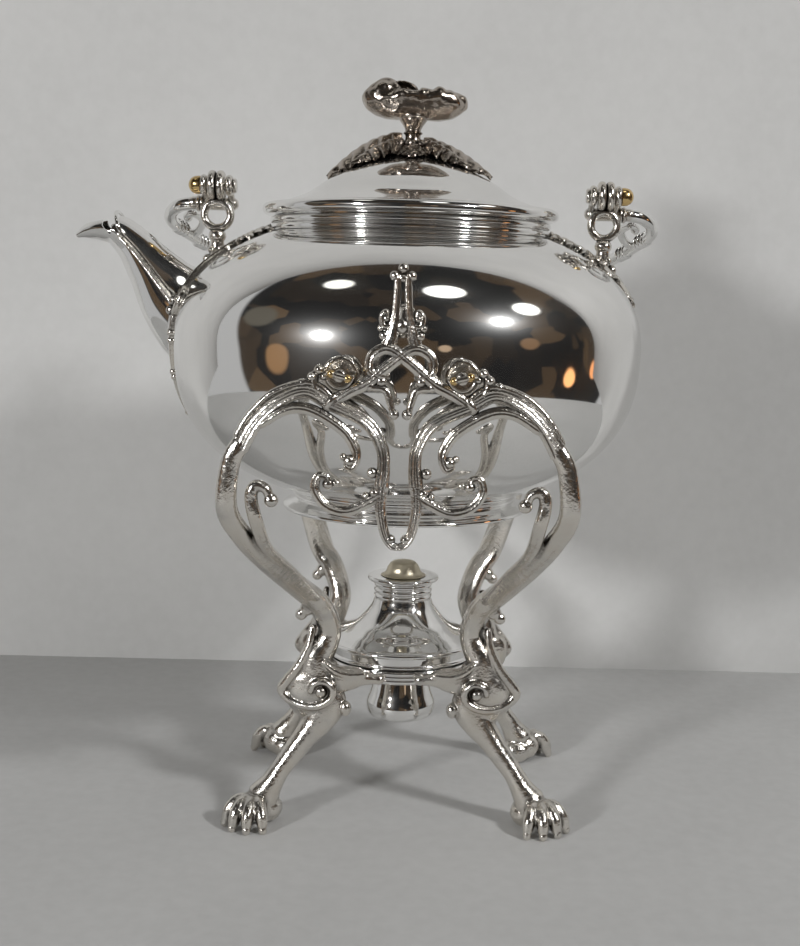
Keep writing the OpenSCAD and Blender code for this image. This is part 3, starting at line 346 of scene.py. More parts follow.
def cutBelow(piece, height):
    build = bmesh.new()
    build.from_mesh(piece.data)
    bmesh.ops.bisect_plane(build, geom=build.verts[:] + build.edges[:] + build.faces[:], dist=1e-7,
                           plane_co=(0, 0, height), plane_no=(0, 0, -1), clear_outer=True)
    bmesh.ops.holes_fill(build, edges=[e for e in build.edges if e.is_boundary], sides=0)
    bmesh.ops.recalc_face_normals(build, faces=build.faces)
    build.to_mesh(piece.data)
    build.free()


def reededOutline(reeds=5, depth=0.10, count=56):
    # Flattened oval whose two broad faces carry fine reeds
    line = []
    for c, s in roundOutline(count):
        a = math.copysign(abs(c) ** 0.8, c)
        b = math.copysign(abs(s) ** 0.62, s)
        groove = depth * (0.5 - 0.5 * math.cos(2 * math.pi * reeds * (a + 1) / 2)) * min(1, 2.2 * abs(s))
        line.append((a, b - math.copysign(groove, b)))
    return line


# Looks

def addNode(tree, kind, settings=None, values=None):
    made = tree.nodes.new(kind)
    for key, value in (settings or {}).items():
        setattr(made, key, value)
    for key, value in (values or {}).items():
        if isinstance(value, bpy.types.NodeSocket):
            tree.links.new(value, made.inputs[key])
        else:
            made.inputs[key].default_value = value
    return made


def newLook(name):
    look = bpy.data.materials.new(name)
    look.use_nodes = True
    look.node_tree.nodes.clear()
    out = addNode(look.node_tree, "ShaderNodeOutputMaterial")
    place = addNode(look.node_tree, "ShaderNodeTexCoord")
    return look, look.node_tree, out, place.outputs["Object"]


def remap(tree, value, low, high, start, end):
    return addNode(tree, "ShaderNodeMapRange", {}, {
        "Value": value, "From Min": low, "From Max": high, "To Min": start, "To Max": end}).outputs["Result"]


def mixColour(tree, factor, a, b):
    mix = addNode(tree, "ShaderNodeMix", {"data_type": "RGBA"})
    for socket, value in ((mix.inputs[0], factor), (mix.inputs[6], a), (mix.inputs[7], b)):
        if isinstance(value, bpy.types.NodeSocket):
            tree.links.new(value, socket)
        elif isinstance(value, (int, float)):
            socket.default_value = value
        else:
            socket.default_value = (*value, 1)
    return mix.outputs[2]


def mixShader(tree, factor, first, second):
    mix = addNode(tree, "ShaderNodeMixShader", {}, {0: factor})
    tree.links.new(first.outputs[0], mix.inputs[1])
    tree.links.new(second.outputs[0], mix.inputs[2])
    return mix


def noiseNode(tree, place, scale, detail):
    return addNode(tree, "ShaderNodeTexNoise", {}, {"Vector": place, "Scale": scale, "Detail": detail}).outputs[0]


def bumpNode(tree, height, strength, distance):
    return addNode(tree, "ShaderNodeBump", {}, {
        "Height": height, "Strength": strength, "Distance": distance}).outputs[0]


def polishedLook(name, settings):
    look, tree, out, place = newLook(name)
    cloud = noiseNode(tree, place, 22, 3)
    colour = mixColour(tree, remap(tree, cloud, 0.35, 0.7, 0, 1),
                       settings["colour"], [c * 0.95 for c in settings["colour"]])
    sheen = addNode(tree, "ShaderNodeBsdfPrincipled", {}, {
        "Base Color": colour, "Metallic": 1,
        "Roughness": remap(tree, cloud, 0.3, 0.7, settings["shine"] * 0.7, settings["shine"] * 1.5),
        "Normal": bumpNode(tree, noiseNode(tree, place, 900, 2), 0.003, 0.0004)})
    haze = addNode(tree, "ShaderNodeBsdfPrincipled", {}, {
        "Base Color": colour, "Metallic": 1, "Roughness": settings["hazeRoughness"]})
    tree.links.new(mixShader(tree, settings["haze"], sheen, haze).outputs[0], out.inputs[0])
    return look


def castLook(name, settings, reach=2.5, fine=420):
    look, tree, out, place = newLook(name)
    shade = addNode(tree, "ShaderNodeAmbientOcclusion", {"samples": 6, "only_local": True},
                    {"Distance": reach * mm})
    cloud = noiseNode(tree, place, 95, 4)
    grain = noiseNode(tree, place, fine * 3, 2)
    lumps = noiseNode(tree, place, fine, 3)
    # Painted shade: the colour darkens where ambient occlusion finds the form hollow, mottled by noise
    paintedShade = addNode(tree, "ShaderNodeMath", {"operation": "MULTIPLY_ADD"}, {
        0: cloud, 1: 0.5, 2: shade.outputs["AO"]}).outputs[0]
    tone = mixColour(tree, remap(tree, cloud, 0.35, 0.7, 0, 1),
                     settings["colour"], [c * k for c, k in zip(settings["colour"], (0.93, 0.9, 0.86))])
    # Painted shade: the hollows take the dark colour
    colour = mixColour(tree, remap(tree, paintedShade, 0.87, 1.24, 0, 1), settings["hollowShade"], tone)
    height = addNode(tree, "ShaderNodeMath", {"operation": "MULTIPLY_ADD"}, {0: grain, 1: 0.4, 2: lumps})
    metal = addNode(tree, "ShaderNodeBsdfPrincipled", {}, {
        "Base Color": colour, "Metallic": 1,
        "Roughness": remap(tree, paintedShade, 0.6, 1.2, 0.5, settings["shine"]),
        "Normal": bumpNode(tree, height.outputs[0], settings["grain"], 0.0003)})
    tree.links.new(metal.outputs[0], out.inputs[0])
    return look


def cottonLook(name):
    look, tree, out, place = newLook(name)
    thread = addNode(tree, "ShaderNodeTexWave", {}, {
        "Vector": place, "Scale": 350, "Distortion": 3}).outputs["Fac"]
    cloth = addNode(tree, "ShaderNodeBsdfPrincipled", {}, {
        "Base Color": mixColour(tree, thread, (0.62, 0.57, 0.46), (0.8, 0.77, 0.68)),
        "Roughness": 0.95, "Normal": bumpNode(tree, thread, 0.5, 0.0004)})
    tree.links.new(cloth.outputs[0], out.inputs[0])
    return look


polishedSilver = polishedLook("PolishedSilver", polished)
castSilver = castLook("CastSilver", cast)
agedSilver = castLook("AgedSilver", aged, 4, 300)
giltSilver = castLook("GiltSilver", gilt)
dullSilver = castLook("DullSilver", dull, 2)
cotton = cottonLook("CottonWick")
print("looks made")


# Kettle

def shoulderHeight(r):
    share = min(1, max(0, r) / kettle["radius"])
    return kettle["widest"] + kettle["rise"] * (1 - share ** kettle["shoulderPower"]) ** (
        1 / kettle["shoulderPower"])


def bellyRadius(z):
    rising = z > kettle["widest"]
    size = kettle["rise"] if rising else kettle["drop"]
    power = kettle["shoulderPower"] if rising else kettle["bowlPower"]
    share = min(1, abs(z - kettle["widest"]) / size)
    return kettle["radius"] * (1 - share ** power) ** (1 / power)


def bellyLine(inset, steps=72):
    # From the bottom to the neck, closer together near the widest line
    line = []
    low, high = kettle["bottom"] + (kettle["wall"] if inset else 0), neckHeight - inset
    for i in range(steps + 1):
        t = 2 * i / steps - 1
        reach = (high - kettle["widest"]) if t > 0 else (kettle["widest"] - low)
        z = kettle["widest"] + math.copysign(reach * math.sin(abs(t) * math.pi / 2), t)
        line.append((bellyRadius(z) - inset, z))
    return line


def castPiece(name, shape, body, nodes=(), smooth=35):
    return makePiece(name, shape, castSilver, body, nodes, smooth)


def turnedPiece(name, profile, body, node, steps=192, smooth=50):
    shape = newShape()
    addTurned(shape, profile, None, steps)
    makePiece(name, shape, polishedSilver, body, [node], smooth)


def makeKettle():
    outer, inner = bellyLine(0), bellyLine(kettle["wall"])
    profile = ([(0, kettle["bottom"])] + outer + [(kettle["mouth"], neckHeight)]
               + list(reversed(inner)) + [(0, kettle["bottom"] + kettle["wall"])])
    turnedPiece("KettleBelly", profile, "kettle", "kettle_body", 256)

    r, z = kettle["footRadius"], kettle["bottom"] - kettle["footDrop"]
    profile = eased([(r - 5, kettle["bottom"]), (r - 5, z + 4), (r - 3, z + 1.8), (r - 1, z), (r + 2, z),
                     (r + 2, z + 1.4), (r + 1.2, z + 1.7), (r - 1.6, z + 3), (r - 3, z + 4.4)], 0.5)
    profile += arcLine((r - 3.2, z + 5.4), 0.9, -70, 70) + arcLine((r - 3.7, z + 7.8), 1.4, -70, 70)
    profile += [(r - 3.6, kettle["bottom"])]
    turnedPiece("KettleFoot", profile, "kettle", "foot_ring", 192, 60)

    z = neckHeight
    edge = kettle["neck"] + 1.2
    profile = [(kettle["mouth"], z), (kettle["neck"] - 0.9, z)]
    profile += arcLine((kettle["neck"] - 0.7, z + 1.55), 1.5, -85, 70, 14)
    profile += arcLine((edge - 1.6, z + 4.4), 1.55, -70, 85, 14)
    profile += [(edge - 2.2, z + kettle["collar"]), (kettle["mouth"], z + kettle["collar"])]
    turnedPiece("NeckCollar", profile, "kettle", "collar_ring", 192, 60)


def makeLid():
    inner = kettle["mouth"] - lid["gap"] - kettle["wall"]
    z, r = flangeBottom, lid["radius"]
    profile = [(inner, z - lid["bezel"]), (inner + kettle["wall"], z - lid["bezel"]), (inner + kettle["wall"], z),
               (kettle["neck"], z), (kettle["neck"] + 0.4, z + 0.7)]
    profile += arcLine((r - 2.4, z + 2.5), 2.4, -90, 80, 20)
    profile += [(r - 4, z + lid["flange"] - 0.4), (r - 6.5, z + lid["flange"]), (inner, z + lid["flange"])]
    turnedPiece("LidFlange", profile, "lid", "lid_flange", 192, 60)

    z, rise = flangeTop, lid["rise"]
    line = smoothLine([(r - 5.4, z), (r - 9, z + 0.9), (r - 18.3, z + rise * 0.2), (r - 27, z + rise * 0.46),
                       (24, z + rise * 0.68), (12, z + rise * 0.88), (lid["stem"] + 1.6, coneTop)], 10)
    turnedPiece("LidCone", [(0, z), (r - 8, z)] + [tuple(q) for q in line] + [(0, coneTop)], "lid", "lid_cone")
    return line


def coneHeight(r):
    for (r0, z0), (r1, z1) in zip(coneLine, coneLine[1:]):
        if r1 <= r <= r0:
            return z1 + (z0 - z1) * (r - r1) / (r0 - r1)
    return coneLine[-1][1] if r < coneLine[-1][0] else coneLine[0][1]


def makeLeaves():
    # Serrated leaves that arch out over the cone
    shape = newShape()
    rows, columns, teeth = 64, 27, 11
    for angle, length, width, lift in ((176, 31, 9.4, 7.6), (-4, 28.6, 8.8, 5.4), (202, 23, 6.6, 4.6),
                                       (-26, 22, 6.6, 4), (151, 23, 6.6, 4.6), (29, 22, 6.6, 4),
                                       (90, 14, 6.4, 3), (270, 11, 5.6, 1.6)):
        grid = []
        for i in range(rows):
            s = i / (rows - 1)
            reach = 4.6 + length * s
            half = width * (math.sin(math.pi * min(1, 0.12 + 0.88 * s) ** 0.85) ** 0.8 + 0.03)
            half *= 1 + 0.22 * math.sin(s * teeth * math.pi) * (1 if s < 0.95 else 0)
            ridge = lift * (0.2 + 0.8 * math.sin(math.pi * (0.16 + 0.84 * s) ** 0.8))
            row = []
            for j in range(columns):
                c = 2 * j / (columns - 1) - 1
                y = c * half
                x = reach + 1.8 * abs(c) * (0.5 - s) + 1.1 * abs(c) * math.sin(s * teeth * math.pi)
                base = coneHeight(min(math.hypot(x, y), 48))
                vein = (0.55 * math.cos(c * 2 * math.pi) * (1 - s)
                        + 0.5 * math.cos((s * 15 + abs(c) * 2.4) * math.pi))
                row.append((x, y, base + 1 + ridge * (1 - abs(c) ** 1.6) + vein * (0.35 + 0.65 * abs(c))))
            grid.append(row)
        turn = Matrix.Rotation(math.radians(angle), 3, "Z")
        addSheet(shape, [[turn @ Vector(q) for q in row] for row in grid],
                 lambda a, b: 0.5 + 0.9 * math.sin(math.pi * b) * (1 - 0.6 * a))
    for i in range(9):
        a = 2 * math.pi * (i + 0.5) / 9
        addBall(shape, (6.2 * math.cos(a), 6.2 * math.sin(a), coneTop + 2.6), (2.8, 1.9, 2.1),
                Matrix.Rotation(a, 3, "Z"), 12)
    makePiece("FinialLeaves", shape, agedSilver, "lid", ["finial_leaves"])


def makeStem():
    z = coneTop
    shape = newShape()
    profile = smoothLine([(0, z), (3.9, z + 0.01), (4.5, z + 1.4), (4.2, z + 3.4), (3.3, z + 4.8),
                          (3.2, z + 6.6), (4, z + 7.5), (3.2, z + 8.5), (4.2, z + 10.6), (6, z + 13),
                          (6.4, z + 14.6), (5, z + 15.4), (0, z + 15.6)], 4)
    profile[0] = (0, z)
    addTurned(shape, profile, None, 48)
    makePiece("FinialStem", shape, agedSilver, "lid", ["finial_stem"])


def makeFlower():
    # A crumpled open cup whose two long lobes roll over
    shape = newShape()
    z = coneTop + lid["stemHeight"]
    left = smoothLine([(0, -0.6), (9.6, -1.2), (16.6, 0.8), (20.4, 4.4), (20, 8.2), (16, 12), (10.4, 13.6),
                       (7, 11)], 5)
    right = smoothLine([(0, -0.6), (10.4, -1.4), (17, 0), (20.8, 3), (20.6, 6), (16.8, 8.4), (11, 9.4),
                        (8, 7.2)], 5)
    near = smoothLine([(0, -0.6), (3.8, -0.2), (7, 1.6), (9.2, 4.2), (9.8, 6.4), (9, 8.2), (7.4, 8.2),
                       (5.6, 6)], 5)
    columns = 121
    # Without a seed the crumple would differ each time
    noise.seed_set(flowerSeed)
    grid = []
    for i, (l, r, n) in enumerate(zip(left, right, near)):
        s = i / (len(near) - 1)
        row = []
        for j in range(columns):
            a = 2 * math.pi * j / (columns - 1)
            c = math.cos(a)
            long = l if c < 0 else r
            share = abs(c) ** 1.5
            fold = math.sin(7 * a + 0.7) + 0.6 * math.sin(11 * a + 2.1)
            swell = 1 + 0.05 * fold * s
            rise = long[1] * share + n[1] * (1 - share) + 0.7 * s * fold - 1.4 * s * math.cos(3 * a) * (1 - share)
            point = Vector((c * long[0] * swell, math.sin(a) * (n[0] + 2.2 * share) * swell, z + rise))
            row.append(point + noise.noise_vector(point * 0.3) * (1.3 * s))
        grid.append(row)
    addSheet(shape, grid, lambda a, b: 1.5 - 0.5 * a)
    # Small rolled petals inside, the front one turned to the eye
    for px, py, pz, size, tilt, spin in ((-4.6, -5.4, 7.4, 1, 62, 8), (4.8, -3.6, 5.4, 0.8, 40, -30),
                                         (11.6, -1.4, 6.4, 0.75, 24, -60), (-12.6, 1, 8.8, 0.9, 30, 60),
                                         (3, 4.6, 6, 0.8, -40, 10), (-4, 3.6, 8, 0.9, -30, -20)):
        place = (Matrix.Translation((px, py, z + pz)) @ Matrix.Rotation(math.radians(spin), 4, "Z")
                 @ Matrix.Rotation(math.radians(tilt), 4, "X")
                 @ Matrix.Diagonal((size * 1.06, size * 0.88, size, 1)))
        addTurned(shape, [(0, -2.2), (3, -1.8), (4.9, 0), (5.7, 1.9), (6.5, 1.7), (6.1, -0.6), (4.2, -2.9),
                          (0, -3.8)], place, 32)
    for a, r, h in ((0.4, 11.5, 4.4), (2.7, 12, 6.4), (3.5, 9, 5.4), (5.9, 10.5, 4), (1.6, 4, 4), (4.7, 3, 3)):
        addBall(shape, (r * math.cos(a), r * 0.45 * math.sin(a), z + h), (4.4, 3, 3),
                Matrix.Rotation(a, 3, "Z"), 14)
    bud = makePiece("FinialFlower", shape, agedSilver, "lid", ["finial_bud"])
    weld(bud, 0.28, 2)


def makeSpout():
    x, z = spoutTip, neckHeight
    shape = newShape()
    # A soft ridge along each side, where the straps run
    outline = [(math.copysign(abs(c) ** 1.42, c), math.copysign(abs(d) ** 1.42, d)) for c, d in roundOutline(64)]
    root = bellyRadius(z - 34)

    def line(inset):
        return [
            (-root + 12, 0, z - 38, 24 - inset, 19 - inset), (x + 46, 0, z - 33.5, 20 - inset, 15.5 - inset),
            (x + 38.5, 0, z - 27, 15.6 - inset, 12.6 - inset), (x + 30, 0, z - 16.2, 10.8 - inset, 11 - inset),
            (x + 22.8, 0, z - 7, 8 - inset, 9.8 - inset), (x + 16, 0, z - 1.6, 6.6 - inset, 8.8 - inset),
            (x + 9, 0, z - 1, 4.8 - inset * 0.9, 6.4 - inset), (x + 3.4, 0, z - 2.2, 2.9 - inset * 0.8,
                                                              3.4 - inset * 0.9),
            (x, 0, z - 3.6, 1.3 - inset * 0.5, 1.5 - inset * 0.5)]
    addBar(shape, line(0), front, outline, 10, (False, True))
    tube = makePiece("Spout", shape, polishedSilver, "kettle", ["spout"], 40)
    hollow = newShape()
    addBar(hollow, line(1.2)[3:-1], front, outline, 8, (True, False))
    cutAway(tube, hollow)
    notch = newShape()
    wedge = [(14.6, -4), (19.2, 8), (10.6, 8), (11.2, 0.4)]
    addRings(notch, [[Vector((x + a, y, z + b)) for a, b in wedge] for y in (-14, 14)])
    cutAway(tube, notch)
    beak = newShape()
    addBar(beak, [(x + 3, 0, z + 3.4, 2.6, 2), (x + 6, 0, z + 4, 3.6, 3.4), (x + 9, 0, z + 4.4, 4.6, 4.4),
                  (x + 12.4, 0, z + 4.8, 5.2, 4.8)], front, roundOutline(32), 6)
    cutAway(tube, beak)

    # Apron that runs down the belly, and the beads round the spout's throat
    shape = newShape()
    apron = []
    for i in range(7):
        low = kettle["widest"] + 14 - 9.6 * i
        apron.append((-bellyRadius(low) + 1, 0, low, 4.6 - 0.35 * i, 18 - 2.1 * i))
    addBar(shape, apron, front, roundOutline(40), 8)
    makePiece("SpoutApron", shape, polishedSilver, "kettle", (), 60)
    shape = newShape()
    throat = Matrix.Rotation(math.radians(42), 3, "Y")
    for i in range(18):
        a = math.radians(10 + 20 * i)
        addBall(shape, Vector((x + 21, 0, z - 5.4)) + throat @ Vector((8.1 * math.cos(a), 9.7 * math.sin(a), 0)),
                1.25, None, 14)
    castPiece("SpoutBeads", shape, "kettle")
    # Lip that rolls over the throat
    shape = newShape()
    lip = []
    for i in range(25):
        a = 2 * math.pi * i / 24
        lip.append(Vector((x + 18.6, 0, z - 0.4)) + Matrix.Rotation(math.radians(70), 3, "Y")
                   @ Vector((6.9 * math.cos(a), 8.9 * math.sin(a), 0)))
    addBar(shape, [(*q, 0.8, 0.8) for q in lip[3:22]], Vector((0.3, 0, 1)), roundOutline(12), 2)
    makePiece("SpoutLip", shape, polishedSilver, "kettle", (), 60)


makeKettle()
coneLine = makeLid()
makeLeaves()
makeStem()
makeFlower()
makeSpout()
print("kettle and lid made")


# Stand

def addBand(shape, points, depth, outline, steps=8, lift=0, domes=(True, True)):
    # A flat bar in the plane of a frame; each point is x, z, half width
    addBar(shape, [(x, lift, z, wide, depth) for x, z, wide in points], front, outline, steps, domes)


def intoPlane(shape):
    shape["points"] = [Vector((p[0], p[1] - stand["plane"], p[2])) for p in shape["points"]]
    return shape


def frameHalf():
    x, z, c = stand["spread"], stand["height"], crest
    t, h = stand["apart"], stand["trunnion"]
    half = stand["depth"] / 2
    broad, fine, thin = reededOutline(5, 0.14), reededOutline(3, 0.12, 40), roundOutline(18)
    shape = newShape()

    def knob(px, pz, r):
        addBall(shape, (px, 0, pz), (r, r * 0.95, r))

    # Arch from the leg over the junction, down the strap
    addBand(shape, [(x + 1.4, z - 2.4, 3.1), (x - 3.6, z + 6.6, 3.1), (x - 11, z + 13.8, 2.9),
                    (x - 21, z + 17.9, 2.6), (t + 3.4, z + 13.9, 2.6), (11.8, z + 7.7, 2.4), (6.3, z - 0.8, 2.3),
                    (5.4, z - 7.6, 2.3), (6, h - 38.2, 2.7)], half * 0.96, broad, 9, 0, (False, False))
    # Polished edge along the arch's back
    addBand(shape, [(x + 2.6, z + 2, 1), (x - 2.2, z + 9.6, 1.2), (x - 10, z + 17, 1.3),
                    (x - 20.6, z + 20.8, 1.3), (t + 6.6, z + 19.2, 1.4), (t + 3.2, z + 16.2, 1.4)],
            half * 0.75, thin)
    # Inner band that leaves the arch and curls in
    addBand(shape, [(x - 6, z + 6.4, 1.9), (x - 14.5, z + 11.4, 2), (x - 23, z + 11.4, 2.1),
                    (x - 34, z + 5, 2), (x - 38.4, z - 1.2, 1.8), (x - 39, z - 5.4, 1.6),
                    (x - 37.4, z - 8.4, 1.4), (x - 35.6, z - 7.6, 1.1)], half * 0.85, fine)
    knob(x - 36.6, z - 6, 2.2)
    addBall(shape, (x - 34.4, -0.3, z - 4.6), (1.3, 1.5, 1.3))
    # Crest ribbon that crosses the middle and curls back
    addBand(shape, [(t + 4.4, z + 13, 2.3), (t - 3, h - 5.6, 2.2), (11.7, h - 2.3, 2.2),
                    (2.6, c - 2.8, 2.1), (-4.4, c + 1.6, 2.1), (-9.8, c - 0.6, 1.9),
                    (-10.8, c - 5.6, 1.7), (-8, c - 8.2, 1.4)], half * 0.92, fine)
    knob(-7, c - 7.8, 2)
    # Wishbone below the crossing
    addBand(shape, [(10.4, h - 3.8, 1.3), (5.4, h - 4.7, 1.4), (3.6, h - 9, 1.3), (3, h - 11.8, 1.1)],
            half * 0.62, thin, 8, -0.3)
    knob(2.3, h - 13, 1.9)
    knob(6.8, h - 1.6, 2.1)
    knob(10.8, h - 3.4, 1.9)
    # Horn outside the trunnion, with rolled ends
    addBand(shape, [(t + 3, z + 14.4, 2.5), (t + 7.2, h - 7, 2), (t + 8.9, h - 3, 1.7),
                    (t + 8.7, h + 0.2, 1.5)], half * 0.8, thin)
    for dx, dz, r in ((7.2, 1.8, 1.9), (9.6, -0.6, 1.8), (5.6, -0.4, 1.5)):
        addBall(shape, (t + dx, 0, h + dz), (r, 2.3, r))
    # Cradle round the half bush
    rings = []
    for i in range(25):
        a = math.radians(180 + 180 * i / 24)
        middle = Vector((t + 4.4 * math.cos(a), 0, h + 4.4 * math.sin(a)))
        out = Vector((math.cos(a), 0, math.sin(a)))
        rings.append([middle + out * (0.85 * p) + front * (half * 0.92 * q) for p, q in roundOutline(16)])
    addRings(shape, rings)
    # Ferrule that ties the ribbon to the arch
    addBall(shape, (t + 3.2, -0.6, z + 14.6), (1.7, 2, 3.4), Matrix.Rotation(math.radians(-35), 3, "Y"))
    for dx, dz in ((-20, 20.6), (-3.4, 10.4)):
        knob(x + dx, z + dz, 1.7)
    knob(9.4, h - 33.6, 2)
    return shape


def lanceWhole():
    c, top = crest, lanceTop
    half = newShape()
    addBand(half, [(5.4, c + 1.2, 2.2), (4.2, c + 5, 2.2), (3.3, c + 9, 1.7), (2.3, c + 14, 1.4),
                   (1.75, top - 4, 1.3), (1.9, top - 2, 1.3)], 1.7, reededOutline(2, 0.2, 40))
    addBand(half, [(3.2, c + 9.6, 1.1), (6.2, c + 9.4, 1.2), (7, c + 12.6, 1.1), (5.6, c + 14.2, 1),
                   (4.9, c + 12.6, 0.9)], 1.3, roundOutline(16))
    addBalls(half, [((5.4, 0, c + 11.9), (1.4, 1.5, 1.4)), ((2.9, 0, top - 1.6), (1.7, 1.5, 1.7)),
                    ((6.2, 0, c + 6), (1.7, 1.6, 1.7)), ((7.3, 0, c + 8.6), (1.3, 1.4, 1.3))])
    shape = bothHalves(half)
    addBalls(shape, [((0, 0, top + 1), (1.8, 1.6, 1.9)), ((0, 0, top - 2.4), (1.9, 1.5, 1.6)),
                     ((0, 0, c + 9.4), (2.4, 1.7, 2.6))])
    return shape


def hangerWhole():
    joint = stand["trunnion"] - 38
    deep = stand["depth"] / 2
    half = newShape()
    addBand(half, [(6, joint, 2.7), (6.2, joint - 3.6, 2.1), (6.1, joint - 9.6, 1.9), (4.6, joint - 17, 1.7),
                   (2.4, joint - 20.8, 1.5), (0.6, joint - 21.6, 1.3)], deep * 0.8, reededOutline(4, 0.14, 48),
            9, 0, (False, True))
    addBand(half, [(6.4, joint - 3.4, 1.8), (11.4, joint - 6.4, 1.9), (18.2, joint - 9.2, 1.9),
                   (25.1, joint - 7.4, 1.8), (29.2, joint - 2, 1.7), (28.2, joint + 2.8, 1.5),
                   (25.2, joint + 2.6, 1.3), (24.6, joint - 0.2, 1.2)], deep * 0.75, reededOutline(3, 0.14, 40), 9)
    addBalls(half, [((24.6, 0, joint + 0.2), (2.1, 1.9, 1.9)), ((21.9, 0, joint + 0.6), (1.6, 1.6, 1.4)),
                    ((2.7, -0.2, joint - 19), (1.9, 1.8, 1.9)), ((8.6, 0, joint - 2.6), (1.8, 1.7, 1.8)),
                    ((11.4, 0, joint - 3.6), (1.4, 1.5, 1.4))])
    return bothHalves(half)


legOutline = roundOutline(28)


# A leg is drawn in the quadrant right of the middle and to the front

def addStems(shape):
    x, z, y = stand["spread"], stand["height"], -stand["plane"]
    half = stand["depth"] / 2
    addBar(shape, [
        (x + 1.2, y, z - 1, half, 3.3), (x + 4.6, y, z - 8, half + 0.3, 3.5),
        (x + 6.2, y + 2, z - 24, half + 0.8, 3.9), (x + 2, y * 0.885, z - 36, 3.4, 4.2),
        (x - 4.3, y * 0.71, z - 49, 3.6, 4.5), (x - 14, y * 0.43, z - 66, 4.1, 5.2),
        (x - 20, -36.5, z - 73.5, 4.3, 5.1), (x - 23.4, -32, z - 80.5, 4.5, 4.9),
        (x - 24.8, -30, z - 87.4, 4.9, 4.9), (x - 22.6, -30.5, z - 93.6, 5.3, 5.7),
        (x - 20, -31, z - 98, 6, 7.2), (x - 20, -31, z - 105, 6.6, 10.4),
        (x - 19.2, -31, z - 110.5, 6.8, 13.3), (x - 20.6, -31, z - 115, 6.6, 12.2),
        (x - 23.4, -31, z - 118.6, 6.2, 8.8), (x - 20.5, -31.8, z - 125, 5.7, 6.8),
        (x - 16, -33, z - 131, 5.1, 5.2), (x - 10, -35, z - 139, 4.6, 4.5),
        (x - 5.8, -36.5, z - 144.6, 4.4, 4.2), (x - 2.5, -37.6, z - 150, 4.8, 4.8),
        (x + 1, -38, z - 155.5, 5.7, 6.6)], side, legOutline, 8)
    addBar(shape, [
        (x - 9, y, z - 20, half * 0.8, 1.6), (x - 7.8, y, z - 16.6, half * 0.9, 1.8),
        (x - 4, y, z - 15.6, half, 2.1), (x - 2.6, y, z - 20, half, 2.4), (x - 4.4, y + 2, z - 29.5, half, 2.6),
        (x - 6, y * 0.82, z - 42, half, 2.7), (x - 12, y * 0.58, z - 56, half, 2.7),
        (x - 19, y * 0.4, z - 70, half, 2.6)], Vector((1, 0.2, 0.1)), legOutline, 8)
    addBall(shape, (x - 9.6, y, z - 20.6), (2.6, 2.2, 2.5))


def addHock(shape):
    inner = stand["ring"] - 5
    # A ridge from the curl to the point, back below and into a curl on the haunch
    addBar(shape, [
        (inner + 7.5, -33.5, 82, 1.4, 1.6), (inner + 8.6, -34.5, 75, 1.7, 2), (inner + 12.5, -35, 66.5, 2, 2.3),
        (inner + 17.6, -34.5, 59.5, 2.2, 2.3), (inner + 19.6, -33.8, 55.4, 2.2, 2.2),
        (inner + 16, -34.6, 51.4, 1.9, 2), (inner + 10.4, -36.2, 49.6, 1.8, 1.9),
        (inner + 4.4, -37.2, 50, 1.7, 1.8), (inner - 0.6, -37.6, 53, 1.6, 1.7),
        (inner - 1.4, -37.8, 57.4, 1.5, 1.6), (inner + 2, -38, 60.4, 1.4, 1.5),
        (inner + 6.2, -38, 59.4, 1.3, 1.4), (inner + 7.4, -38, 56.4, 1.2, 1.2)], front, legOutline, 6)
    addBall(shape, (inner + 3.4, -37.6, 56), (2.3, 1.8, 2.3))
    addBar(shape, [(inner + 2, -36.2, 68, 1.2, 1.3), (inner - 2.4, -36.6, 64.6, 1.5, 1.6),
                   (inner - 8, -36.6, 63, 1.5, 1.5), (inner - 14, -36.4, 63.4, 1.2, 1.2)], front, legOutline, 6)
    addBall(shape, (inner - 6.4, -33.5, stand["ringHeight"] - 10.6), (2.6, 2.8, 3.4))
    # Curl above the haunch
    for dx, dz, r in ((-16, 32, 3), (-13.6, 29.6, 2.5), (-18.4, 33.4, 2.4)):
        addBall(shape, (stand["spread"] + dx, -36, stand["ringHeight"] + dz), (r, r * 0.9, r))


def addArm(shape):
    # Along the ring
    ring = stand["ring"]
    y, z = -ring - 0.6, stand["ringHeight"] + stand["ringDepth"] / 2
    addBar(shape, [(ring + 1, y + 2, z - 3, 5.8, 4.6), (ring - 8, y + 1, z - 1, 5.8, 4.2),
                   (ring - 15, y, z + 0.4, 4.8, 3.6), (ring - 19, y - 0.4, z + 0.4, 3.2, 2.9),
                   (ring - 23.5, y - 0.8, z, 2.1, 2.2)], front, legOutline, 8)
    addBall(shape, (ring - 25, y - 0.7, z), (2.4, 2.2, 2.3))


def addPaw(shape):
    # Pads, toes and claws
    heel = Vector((stand["paw"] - 5, -stand["pawBack"] + 1, 5.6))
    addBall(shape, heel + Vector((-1.8, 1.6, 0.2)), (7, 6.6, 6.2))
    addBall(shape, heel + Vector((2, -1.2, 1.6)), (7.2, 7.2, 6.6))
    claws = []
    for i in range(4):
        a = math.radians(-113 + 31 * i)
        out = Vector((math.cos(a), math.sin(a), 0))
        root = heel + Vector((2.4, -1.4, 2.8)) + out * 3.2
        toe = [(root + out * ahead + Vector((0, 0, rise)), wide, deep) for ahead, rise, wide, deep in (
            (0, 2.4, 2.5, 2.3), (3.8, 2, 2.9, 2.6), (7, -1.4, 3, 2.7), (8.2, -4.8, 2.5, 2.2))]
        addBar(shape, [(*point, wide, deep) for point, wide, deep in toe], up.cross(out), roundOutline(16), 5)
        claws.append(root + out * 9.2 + Vector((0, 0, -6.6)))
    for tip in claws:
        addBall(shape, tip, (1.9, 1.9, 2.1), None, 12)


def legWhole():
    shape = newShape()
    addStems(shape)
    addHock(shape)
    addArm(shape)
    addPaw(shape)
    return shape


